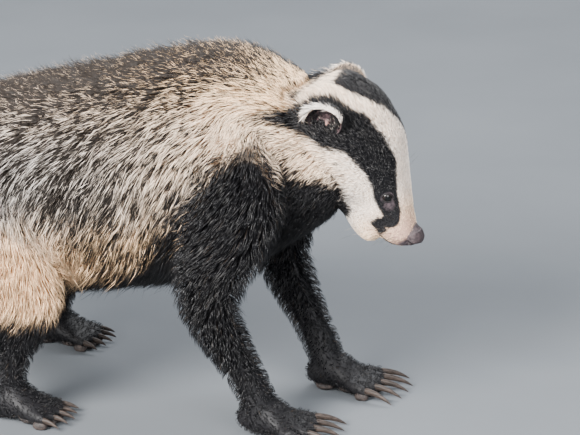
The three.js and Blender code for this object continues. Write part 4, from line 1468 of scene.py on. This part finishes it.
def ear_points(name):
    """A thin round cup, its back surface first and then its inside, and shares toward the rim."""
    root, across, opening, up = ear_frame(name)
    rings, sides, rim = EAR_SHELL["rings"], EAR_SHELL["sides"], EAR_SHELL["rim"]
    wide, high, thick = (EAR[size] - EAR_SHELL["inset"] for size in ("wide", "high", "thick"))
    turn = np.arange(sides) / sides * 2 * math.pi
    made, inside, share = [], [], []
    steps = np.linspace(0.02, rim, rings)
    for inner, thetas in ((False, steps), (True, steps[::-1])):
        for theta in thetas:
            ripple = 1 + 0.02 * np.sin(3 * turn + 1) * math.sin(theta)
            x = np.cos(turn) * math.sin(theta) * ripple
            z = np.sin(turn) * math.sin(theta) * ripple
            forward = -thick * math.cos(theta)
            scale = 1.0
            if inner:
                scale = 1 - EAR_SHELL["wall"] / wide
                forward = 0.55 * thick * (1 - math.cos(theta)) - 0.18 * thick
                forward = min(forward, -thick * math.cos(rim) - 0.2)
                ahead = x * np.sign(across @ FACE)
                forward = forward + 2.2 * bell(ahead - EAR_FOLD_X, 0.1) * band(z, -0.85, -0.1, 0.12)
            made.append(root + across * (x * wide * scale)[:, None] + up * (z * high * scale)[:, None]
                        + opening * np.broadcast_to(forward, x.shape)[:, None])
            inside += [float(inner)] * sides
            share += [theta / rim] * sides
    return np.concatenate(made), grid_faces(2 * rings, sides), np.array(inside), np.array(share)


def ear_measures(name, points):
    """Shares of the ear's width toward its front and of its height upwards."""
    root, across, _, up = ear_frame(name)
    forward = np.sign(across @ FACE)
    return forward * ((points - root) @ across) / EAR["wide"], (points - root) @ up / EAR["high"]


def kinds(count, *parts):
    """Black, white, warm and grizzle of many points, from arrays or from one number for all."""
    return np.stack([np.broadcast_to(np.asarray(part, float), count) for part in parts], axis=-1)


def ear_cup(name, label, chart_left):
    """The cup of an ear, with all that the hair on its back reads from it."""
    points, faces, inside, share = ear_points(name)
    mesh = polygon_mesh(label, points, faces)
    points, normals = coordinates(mesh)
    ahead, height = ear_measures(name, points)
    lie = ear_frame(name)[3] - 0.25 * FACE
    none = 0 * share
    pale = smooth(height, EAR_TIP[name] - 0.1, EAR_TIP[name] + 0.1)
    put(mesh, inside=inside, bare=inside, coat=none + 2.2, stand=none, thin=none,
        fold=bell(ahead - EAR_FOLD_X, 0.1) * band(height, -0.8, -0.12, 0.12) * inside,
        flow=unit(lie - normals * dot(lie, normals)[:, None]),
        kind=kinds(len(points), 1 - pale, pale, 0.1, 0),
        chart=np.stack([chart_left + 0.3 * share, none + 0.995], axis=-1))
    return mesh


def free_tufts(name, roots, ways, bends, lengths, kind, chart, wide, draw):
    """Tufts that stand free: each runs along its way and bends by its bend."""
    run = np.array(FREE_STATIONS)[None, :, None]
    path = roots[:, None] + lengths[:, None, None] * (ways[:, None] * run + bends[:, None] * run ** 2)
    count = len(roots)
    normal = unit(np.cross(ways, np.cross(bends, ways)) + 1e-3)
    grown = dict(path=path, stations=FREE_STATIONS, normal=normal, wild=np.zeros(count, bool),
                 kind=np.repeat(kind[:, None], len(FREE_STATIONS), axis=1),
                 chart=np.broadcast_to(chart, (count, 2)))
    return tuft_mesh(name, grown, wide, draw, np.arange(count))


def nape_bristles(hide, label):
    """Dark hair that stands along the nape, on the left of its middle."""
    draw = drawing("nape")
    x = hide.points[:, 0]
    turn = np.degrees(body_tube(TRUNK).locate(hide.points)["turn"])
    weight = band(turn, 4, 40, 6) * band(x, -30, 66, 12) * (hide.normals[:, 2] > 0)
    count = NAPE["count"]
    roots = draw.choice(len(x), count, p=weight / weight.sum())
    normal, flow = hide.normals[roots], hide.flow[roots]
    ways = unit(0.9 * flow + 0.45 * normal + draw.normal(0, 0.14, (count, 3)))
    lengths = np.interp(x[roots], (-30, 20, 60, 80), (10, 14, 17, 12)) * draw.uniform(0.7, 1.1, count)
    kind = kinds(count, np.where(draw.uniform(0, 1, count) < NAPE["dark"], 1.0, 0.2), 0.4, 0.4, 0.8)
    bends = 0.2 * flow - 0.15 * normal
    return free_tufts(label, hide.points[roots], ways, bends, lengths, kind, hide.chart[roots], NAPE["wide"],
                      draw)


def ear_rim(name, label):
    """Long white hair along the upper rim of an ear, swept back along it."""
    root, across, opening, up = ear_frame(name)
    front = across * np.sign(across @ FACE)
    draw = drawing("ear_rim", SIDES[name])
    count = EAR_RIM["count"]
    turn = np.radians(EAR_RIM["start"] + EAR_RIM["sweep"] * draw.uniform(0, 1, count) ** 0.7)
    deep = draw.uniform(-0.5, 1.0, count)
    radial = front * np.cos(turn)[:, None] + up * np.sin(turn)[:, None]
    along = up * np.cos(turn)[:, None] - front * np.sin(turn)[:, None]
    wide = np.hypot(EAR["wide"] * np.cos(turn), EAR["high"] * np.sin(turn)) - EAR_SHELL["inset"] - 1.2
    roots = root + radial * wide[:, None] + opening * (3.0 + 1.6 * deep)[:, None]
    ways = 0.8 * along + 0.35 * radial + 0.25 * opening * deep[:, None]
    ways = unit(ways + draw.normal(0, 0.16, (count, 3)))
    bends = 0.35 * (along * 0.6 - radial * 0.5) - 0.12 * opening * deep[:, None]
    lengths = draw.uniform(4.0, 7.0, count) * (1 + 0.7 * smooth(np.degrees(turn), 60, 130))
    kind = kinds(count, draw.uniform(0, 0.25, count), 1, 0.05, 0)
    return free_tufts(label, roots, ways, bends, lengths, kind, EAR_RIM["chart"], EAR_RIM["wide"], draw)


def ear_inner(name, label):
    """Dark hair that fills the cup of an ear."""
    root, across, opening, up = ear_frame(name)
    front = across * np.sign(across @ FACE)
    draw = drawing("ear_inner", SIDES[name])
    count, reach = EAR_INNER["count"], EAR_INNER["reach"]
    radius = np.sqrt(draw.uniform(0.02, 0.8, count))
    turn = draw.uniform(0, 2 * math.pi, count)
    x, z = radius * np.cos(turn), radius * np.sin(turn)
    fold = bell(x - EAR_FOLD_X, 0.14) * band(z, -0.85, -0.1, 0.1)
    kept = draw.uniform(0, 1, count) > 1.1 * fold
    x, z, radius = x[kept], z[kept], radius[kept]
    count = len(x)
    depth = EAR["thick"] * (0.55 * radius ** 2 - 0.3)
    roots = root + front * (x * EAR["wide"] * reach)[:, None] + up * (z * EAR["high"] * reach)[:, None]
    roots = roots + opening * depth[:, None]
    ways = unit(0.7 * opening + 0.3 * up - 0.35 * FACE + draw.normal(0, 0.25, (count, 3)))
    bends = 0.15 * up - 0.25 * FACE - 0.4 * opening + draw.normal(0, 0.1, (count, 3))
    grey = draw.uniform(0, 1, count) ** 3
    kind = kinds(count, 1 - 0.25 * grey, 0, 0.3, 0)
    lengths = draw.uniform(4, 7, count)
    return free_tufts(label, roots, ways, bends, lengths, kind, EAR_INNER["chart"], EAR_INNER["wide"], draw)


# How far along its toe a claw starts, and at which height.
CLAW_ROOT = 0.84
CLAW_HEIGHT = {"fore": 8.6, "hind": 8.0}
# Shape of claws and whiskers: drop and flatness to length and width, and width of the tip to the root.
CLAW_SHAPE = dict(Drop=0.27, Flat=0.72, Tip=0.08, Sides=12)
WHISKER_SHAPE = dict(Drop=0.12, Flat=1.0, Tip=0.12, Sides=5)
WHISKER_LENGTH = 26       # the length that a whisker's radius is given for


def claw_roots(pair):
    """Roots and headings of the claws of both feet of a pair."""
    roots, ways = [], []
    for found, name, _, ankle in limbs():
        if found != pair:
            continue
        for index in TOES:
            root, way = toe_run(ankle, SIDES[name], PAWS[pair], index)
            x, y = root + way * PAWS[pair]["toe"] * CLAW_ROOT
            roots.append((x, y, CLAW_HEIGHT[pair]))
            ways.append((*way, 0.0))
    return np.array(roots), np.array(ways)


def horn_tree(name):
    """Curved, tapering horns on points that carry their way and their size: claws and whiskers."""
    inputs = {"Geometry": "Geometry", "Radius": "Float", "Drop": "Float", "Flat": "Float", "Tip": "Float",
              "Sides": "Int", "Seed": "Int", "Finish": "Material"}
    tree, read, out = new_tree(name, "GeometryNodeTree", inputs, "Geometry", "Geometry")
    # A curve one unit long that drops toward its tip, swept with a thinning ring.
    drop = add(tree, "ShaderNodeCombineXYZ", {"X": 1.0, "Z": times(tree, read["Drop"], -1.0)})
    high = add(tree, "ShaderNodeCombineXYZ", {"X": 0.5, "Z": times(tree, read["Drop"], 0.12)})
    curve = add(tree, "GeometryNodeCurveQuadraticBezier",
                {"Resolution": 14, "Start": (0, 0, 0), "Middle": high.outputs[0], "End": drop.outputs[0]})
    run = add(tree, "GeometryNodeSplineParameter").outputs["Factor"]
    thin = calc(tree, "POWER", calc(tree, "SUBTRACT", 1.0, run), 0.62)
    radius = times(tree, read["Radius"], calc(tree, "MAXIMUM", thin, read["Tip"]))
    bent = add(tree, "GeometryNodeSetCurveRadius", {"Curve": curve.outputs[0], "Radius": radius})
    ring = add(tree, "GeometryNodeCurvePrimitiveCircle", {"Resolution": read["Sides"], "Radius": 1.0})
    inputs = {"Curve": bent.outputs[0], "Profile Curve": ring.outputs[0], "Fill Caps": True}
    swept = add(tree, "GeometryNodeCurveToMesh", inputs)
    if "Scale" in swept.inputs:
        tree.links.new(radius, swept.inputs["Scale"])
    flat = add(tree, "ShaderNodeCombineXYZ", {"X": 1.0, "Y": read["Flat"], "Z": 1.0})
    shaped = add(tree, "GeometryNodeTransform", {"Geometry": swept.outputs[0], "Scale": flat.outputs[0]})
    # One on every point, along its way and to its size, with a little play.
    way = add(tree, "GeometryNodeInputNamedAttribute", {"Name": "way"}, data_type="FLOAT_VECTOR")
    size = add(tree, "GeometryNodeInputNamedAttribute", {"Name": "size"}, data_type="FLOAT")
    turn = add(tree, "FunctionNodeAlignRotationToVector", {"Vector": way.outputs[0]}, axis="X")
    vary = add(tree, "FunctionNodeRandomValue", {2: 0.92, 3: 1.08, "Seed": read["Seed"]}, data_type="FLOAT")
    scale = times(tree, size.outputs[0], vary.outputs[1])
    placed = add(tree, "GeometryNodeInstanceOnPoints",
                 {"Points": read["Geometry"], "Instance": shaped.outputs[0], "Rotation": turn.outputs[0],
                  "Scale": scale})
    real = add(tree, "GeometryNodeRealizeInstances", {0: placed.outputs[0]})
    soft = add(tree, "GeometryNodeSetShadeSmooth", {0: real.outputs[0]})
    done = add(tree, "GeometryNodeSetMaterial", {"Geometry": soft.outputs[0], "Material": read["Finish"]})
    tree.links.new(done.outputs[0], out["Geometry"])
    return tree


def horns(name, roots, ways, lengths, material, slot, **inputs):
    """Evaluates the horn tree on points and keeps the result as a plain mesh."""
    mesh = bpy.data.meshes.new(name)
    mesh.from_pydata(to_frame(roots).tolist(), [], [])
    put(mesh, way=ways, size=np.asarray(lengths) * MM)
    work = bpy.data.objects.new(name + "_work", mesh)
    bpy.context.scene.collection.objects.link(work)
    modifier = work.modifiers.new("horns", "NODES")
    modifier.node_group = tree_once("badger horns", horn_tree)
    inputs["Finish"] = material
    for item in modifier.node_group.interface.items_tree:
        if item.in_out == "INPUT" and item.name in inputs:
            modifier[item.identifier] = inputs[item.name]
    made = evaluated(work)
    made.name = name
    if not len(made.polygons):
        raise RuntimeError(f"{name} came out empty")
    made.materials.clear()
    return new_object(name, made, material)


# Rows of whiskers on the pad, as distance above and back, and single ones as back, above and aside.
WHISKER_ROWS = ((-19, 8), (-23, 14), (-27, 18))
WHISKER_SPOTS = ((50, 8, 15), (53, 6, 18), (34, -44, 12), (28, -46, 9))


def whisker_roots():
    """Roots, ways and lengths of the whiskers on pads, brows and chin, the same on each side."""
    draw = drawing("whiskers")
    made = []
    for side in SIDES.values():
        for above, back in WHISKER_ROWS:
            for step in range(3):
                b = back + step * 4.5 - 2
                aside = np.interp(b, [0, 8, 16, 26, 36], [8, 13.5, 15.5, 18, 21])
                way = -0.55 * FACE * (0.5 + 0.25 * step) - 0.3 * CROWN + np.array([0, side, 0])
                way = unit(way + draw.normal(0, 0.1, 3))
                length = draw.uniform(16, 26) + 4 * step
                made.append((on_head(b, above - step * 0.6, side * aside), way, length))
        for back, above, aside in WHISKER_SPOTS:
            lift = 0.8 if above > 0 else -0.8
            way = unit(-0.4 * FACE + lift * CROWN + np.array([0, side * 0.6, 0]))
            made.append((on_head(back, above, side * aside), way, draw.uniform(16, 24)))
    return [np.array(values) for values in zip(*made)]


def lump(centre, halves):
    """A soft cushion, flat where it rests on the floor."""
    x, y, z = np.eye(3)
    way, _ = sphere_ways(*PAD_GRID, z, x, y)
    points = np.array(centre) + np.sign(way) * np.abs(way) ** 0.85 * np.array(halves)
    points[:, 2] = np.maximum(points[:, 2], 0.0)
    return points, grid_faces(*PAD_GRID)


def pad_points():
    """A main pad, a heel pad and five toe pads under each foot."""
    parts = []
    for pair, name, _, ankle in limbs():
        paw = PAWS[pair]
        x, y = ankle
        parts.append(lump((x + paw["pad"] - 12, y, 3.6), (11, 16, 4.4)))
        parts.append(lump((x - 4, y - SIDES[name] * 4, 3.4), (9, 9, 4.0)))
        for index in TOES:
            root, way = toe_run(ankle, SIDES[name], paw, index)
            parts.append(lump((*(root + way * paw["toe"] * 0.66), 3.2), (6.2, 4.3, 3.9)))
    return joined(parts)


# User properties

class BadgerSizes(bpy.types.PropertyGroup):
    """Sizes a user may change."""
    coat_length: FloatProperty(name="Coat length", description="Hair length over the depth of the coat",
                               default=COAT_RATIO, min=1.2, max=3.0)
    tuft_width: FloatProperty(name="Tuft width", description="Share of each tuft's own width",
                              default=1.0, min=0.3, max=3.0)
    fore_claw: FloatProperty(name="Fore claw", description="Length of a fore claw",
                             default=PAWS["fore"]["claw"] * MM, unit="LENGTH")
    hind_claw: FloatProperty(name="Hind claw", description="Length of a hind claw",
                             default=PAWS["hind"]["claw"] * MM, unit="LENGTH")
    whisker_radius: FloatProperty(name="Whisker radius", description="Radius of a whisker at its root",
                                  default=0.15 * MM, unit="LENGTH")
    seed: IntProperty(name="Seed", description="Seed of every random draw", default=SEED)


def colour_property(label, description, default):
    return FloatVectorProperty(name=label, description=description, default=default, subtype="COLOR",
                               size=3, min=0.0, max=1.0)


class BadgerColours(bpy.types.PropertyGroup):
    """Colours a user may change."""
    silver: colour_property("Silver hair", "Pale hair of the flanks", (0.86, 0.84, 0.82))
    buff: colour_property("Buff hair", "Warm hair of thighs and belly edge", (0.93, 0.60, 0.32))
    band: colour_property("Hair band", "Dark band of a grizzled hair", (0.019, 0.0137, 0.0103))
    black: colour_property("Black hair", "Stripes, legs and belly", (0.0062, 0.0058, 0.0070))
    white: colour_property("White hair", "Face, cheeks and ear rims", (0.92, 0.85, 0.79))
    cream: colour_property("Cream hair", "Neck and shoulder", (0.95, 0.66, 0.38))
    pink: colour_property("Muzzle skin", "Skin under the thin hair of the muzzle", (0.42, 0.25, 0.20))
    iris: colour_property("Iris", "Iris of the eye", (0.006, 0.0035, 0.003))
    claw: colour_property("Claw", "Horn of the claws", (0.013, 0.0100, 0.0085))


# Operators

class BadgerOperator:
    bl_options = {"REGISTER", "UNDO"}


class BADGER_OT_skin(BadgerOperator, bpy.types.Operator):
    """Build the one skin that stands for every node of flesh"""
    bl_idname = "badger.skin"
    bl_label = "Skin"

    def execute(self, context):
        mesh = make_skin()
        if len(mesh.vertices) < LEAST_SKIN:
            raise RuntimeError("the skin came out too coarse")
        flesh = [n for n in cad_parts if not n.startswith(("eye_", "ear_", "nose"))]
        new_object("skin", mesh, material_once("badger skin", skin_material), flesh)
        return {"FINISHED"}


class BADGER_OT_coat(BadgerOperator, bpy.types.Operator):
    """Grow the coat of solid tufts on the skin, piece by piece"""
    bl_idname = "badger.coat"
    bl_label = "Coat"

    def execute(self, context):
        skin = bpy.data.objects.get("skin")
        if skin is None:
            raise RuntimeError("the skin comes before the coat")
        hide = Hide(skin.data)
        names = [r[0] for r in regions()]
        main = get(skin.data, "main").astype(int)
        piece = piece_of(hide.points, main, names)[hide.triangles[:, 0]]
        material = material_once("badger coat", coat_material)
        for index, (name, tufts) in enumerate(COAT_PIECES.items()):
            chosen = np.nonzero(piece == name)[0]
            mesh = grow_piece(hide, chosen, f"coat_{name}", tufts, drawing("coat", index))
            new_object(f"coat_{name}", mesh, material)
        new_object("coat_nape", nape_bristles(hide, "coat_nape"), material)
        return {"FINISHED"}


class BADGER_OT_eyes(BadgerOperator, bpy.types.Operator):
    """Make the eyeballs and their lids"""
    bl_idname = "badger.eyes"
    bl_label = "Eyes"

    def execute(self, context):
        eye = material_once("badger eye", eye_material)
        lid = material_once("badger lid", leather_material)
        for name, side in SIDES.items():
            points, faces, pole = eyeball(side)
            mesh = polygon_mesh(f"eyeball_{name}", points, faces)
            put(mesh, pole=pole)
            clean(mesh)
            new_object(f"eyeball_{name}", mesh, eye, [f"eye_{name}"])
            rings = lid_rings(side)
            faces = grid_faces(len(rings), len(rings[0]), looped=True)
            mesh = clean(polygon_mesh(f"lids_{name}", np.concatenate(rings), faces))
            new_object(f"lids_{name}", mesh, lid)
        return {"FINISHED"}


class BADGER_OT_nose(BadgerOperator, bpy.types.Operator):
    """Make the nose leather with its nostrils"""
    bl_idname = "badger.nose"
    bl_label = "Nose"

    def execute(self, context):
        points, faces, hollow = nose_points()
        mesh = polygon_mesh("nose_leather", points, faces)
        put(mesh, hollow=hollow)
        clean(mesh)
        leather = material_once("badger nose", leather_material)
        new_object("nose_leather", mesh, leather, ["nose"])
        return {"FINISHED"}


class BADGER_OT_ears(BadgerOperator, bpy.types.Operator):
    """Make the ear cups and the hair on them"""
    bl_idname = "badger.ears"
    bl_label = "Ears"

    def execute(self, context):
        flesh = material_once("badger ear", ear_material)
        fur = material_once("badger coat", coat_material)
        for index, name in enumerate(SIDES):
            mesh = ear_cup(name, f"ear_cup_{name}", 0.02 + 0.4 * index)
            hide = Hide(mesh)
            new_object(f"ear_cup_{name}", mesh, flesh, [f"ear_{name}"])
            every = np.arange(len(hide.triangles))
            coat = grow_piece(hide, every, f"ear_back_{name}", EAR_TUFTS, drawing("ear_back", index))
            new_object(f"ear_back_{name}", coat, fur)
            for part, grow, slot in (("rim", ear_rim, "pale_fur"), ("inner", ear_inner, "black_fur")):
                label = f"ear_{part}_{name}"
                new_object(label, grow(name, label), fur)
        return {"FINISHED"}


class BADGER_OT_claws(BadgerOperator, bpy.types.Operator):
    """Make the claws of all four feet"""
    bl_idname = "badger.claws"
    bl_label = "Claws"

    def execute(self, context):
        material = material_once("badger claw", claw_material)
        for pair, length in (("fore", sizes().fore_claw), ("hind", sizes().hind_claw)):
            roots, ways = claw_roots(pair)
            paw = PAWS[pair]
            horns(f"claws_{pair}", roots, ways, np.full(len(roots), length / MM), material, "claw_horn",
                  Radius=paw["claw_radius"] * MM / length, Seed=sizes().seed, **CLAW_SHAPE)
        return {"FINISHED"}


class BADGER_OT_whiskers(BadgerOperator, bpy.types.Operator):
    """Make the whiskers of muzzle, brow and chin"""
    bl_idname = "badger.whiskers"
    bl_label = "Whiskers"

    def execute(self, context):
        roots, ways, lengths = whisker_roots()
        material = material_once("badger whisker", whisker_material)
        horns("whiskers", roots, ways, lengths, material, "black_fur",
              Radius=sizes().whisker_radius / (WHISKER_LENGTH * MM), Seed=sizes().seed + 1,
              **WHISKER_SHAPE)
        return {"FINISHED"}


class BADGER_OT_pads(BadgerOperator, bpy.types.Operator):
    """Make the leathery pads under the feet"""
    bl_idname = "badger.pads"
    bl_label = "Pads"

    def execute(self, context):
        points, faces = pad_points()
        mesh = clean(polygon_mesh("sole_pads", points, faces))
        new_object("sole_pads", mesh, material_once("badger pad", leather_material))
        return {"FINISHED"}


# The photograph's view: angles, distance, pixels to a radian, the image's width, and the pixels of the
# animal's zero and of the image's middle.
CAMERA = dict(azimuth=17.0, elevation=20.5, distance=2600.0, per_radian=3016.0, width=580.0,
              origin=(250.0, 404.0), middle=(290.0, 217.5), sensor=36.0)
# Place, aim, size, power and colour of each lamp.
LAMPS = {
    "key": ((-0.9, -2.5, 1.7), (0, 0, 0.15), 1.6, 450.0, (1.0, 0.985, 0.96)),
    "fill": ((2.0, -2.2, 1.6), (0, 0, 0.15), 2.4, 110.0, (0.97, 0.98, 1.0)),
    "rim": ((0.2, 1.6, 2.4), (0, 0, 0.2), 2.0, 110.0, (0.97, 0.98, 1.0)),
}
SKY = (0.82, 0.88, 0.95, 1)
FLOOR_HALF = 7000
FLOOR_Z = -0.3


def aimed(name, data, place_at, way):
    """A camera or a lamp at a place, looking along a way."""
    made = bpy.data.objects.new(name, data)
    made.location = place_at
    made.rotation_mode = "QUATERNION"
    made.rotation_quaternion = way.to_track_quat("-Z", "Y")
    bpy.context.scene.collection.objects.link(made)
    return made


def make_camera():
    a, e = math.radians(CAMERA["azimuth"]), math.radians(CAMERA["elevation"])
    back = np.array([math.sin(a) * math.cos(e), -math.cos(a) * math.cos(e), math.sin(e)])
    right = np.array([math.cos(a), math.sin(a), 0.0])
    up = np.cross(back, right)
    offset = np.array(CAMERA["middle"]) - np.array(CAMERA["origin"])
    aim = -back + right * offset[0] / CAMERA["per_radian"] - up * offset[1] / CAMERA["per_radian"]
    data = bpy.data.cameras.new("camera")
    data.sensor_width = CAMERA["sensor"]
    data.lens = CAMERA["sensor"] * CAMERA["per_radian"] / CAMERA["width"]
    data.clip_start, data.clip_end = 0.1, 50.0
    bpy.context.scene.camera = aimed("camera", data, to_frame(back * CAMERA["distance"]), Vector(aim))


def make_lamps():
    for name, (place_at, toward, size, power, colour) in LAMPS.items():
        data = bpy.data.lights.new(name, "AREA")
        data.shape = "DISK"
        data.size = size
        data.energy = power
        data.color = colour
        aimed(name, data, place_at, Vector(toward) - Vector(place_at))


class BADGER_OT_stage(BadgerOperator, bpy.types.Operator):
    """Make the pale floor, the soft lights and the camera"""
    bl_idname = "badger.stage"
    bl_label = "Stage"

    def execute(self, context):
        corners = [(x * FLOOR_HALF, y * FLOOR_HALF, FLOOR_Z) for x, y in ((-1, -1), (1, -1), (1, 1), (-1, 1))]
        mesh = polygon_mesh("floor", np.array(corners), [(0, 1, 2, 3)], flat=True)
        floor = new_object("floor", mesh, material_once("pale floor", floor_material), ride=False)
        make_lamps()
        world = bpy.data.worlds.new("studio")
        world.use_nodes = True
        background = world.node_tree.nodes["Background"]
        background.inputs["Color"].default_value = SKY
        background.inputs["Strength"].default_value = 0.7
        context.scene.world = world
        make_camera()
        return {"FINISHED"}


class BADGER_PT_panel(bpy.types.Panel):
    """Lists the badger's pieces, sizes and colours"""
    bl_label = "European badger"
    bl_idname = "BADGER_PT_panel"
    bl_space_type = "VIEW_3D"
    bl_region_type = "UI"
    bl_category = "Badger"

    def draw(self, context):
        for group in (context.scene.badger_sizes, context.scene.badger_colours):
            column = self.layout.column(align=True)
            for name in group.__annotations__:
                column.prop(group, name)
        for operator in OPERATORS:
            self.layout.operator(operator.bl_idname)


OPERATORS = (
    BADGER_OT_skin,
    BADGER_OT_coat,
    BADGER_OT_eyes,
    BADGER_OT_nose,
    BADGER_OT_ears,
    BADGER_OT_claws,
    BADGER_OT_whiskers,
    BADGER_OT_pads,
    BADGER_OT_stage,
)
CLASSES = (BadgerSizes, BadgerColours, *OPERATORS, BADGER_PT_panel)


def register():
    for made in CLASSES:
        bpy.utils.register_class(made)
    bpy.types.Scene.badger_sizes = PointerProperty(type=BadgerSizes)
    bpy.types.Scene.badger_colours = PointerProperty(type=BadgerColours)


def unregister():
    del bpy.types.Scene.badger_colours
    del bpy.types.Scene.badger_sizes
    for made in reversed(CLASSES):
        bpy.utils.unregister_class(made)


def main():
    register()
    bpy.ops.badger.skin()
    bpy.ops.badger.coat()
    bpy.ops.badger.eyes()
    bpy.ops.badger.nose()
    bpy.ops.badger.ears()
    bpy.ops.badger.claws()
    bpy.ops.badger.whiskers()
    bpy.ops.badger.pads()
    bpy.ops.badger.stage()
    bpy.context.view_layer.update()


if __name__ == "__main__":
    main()
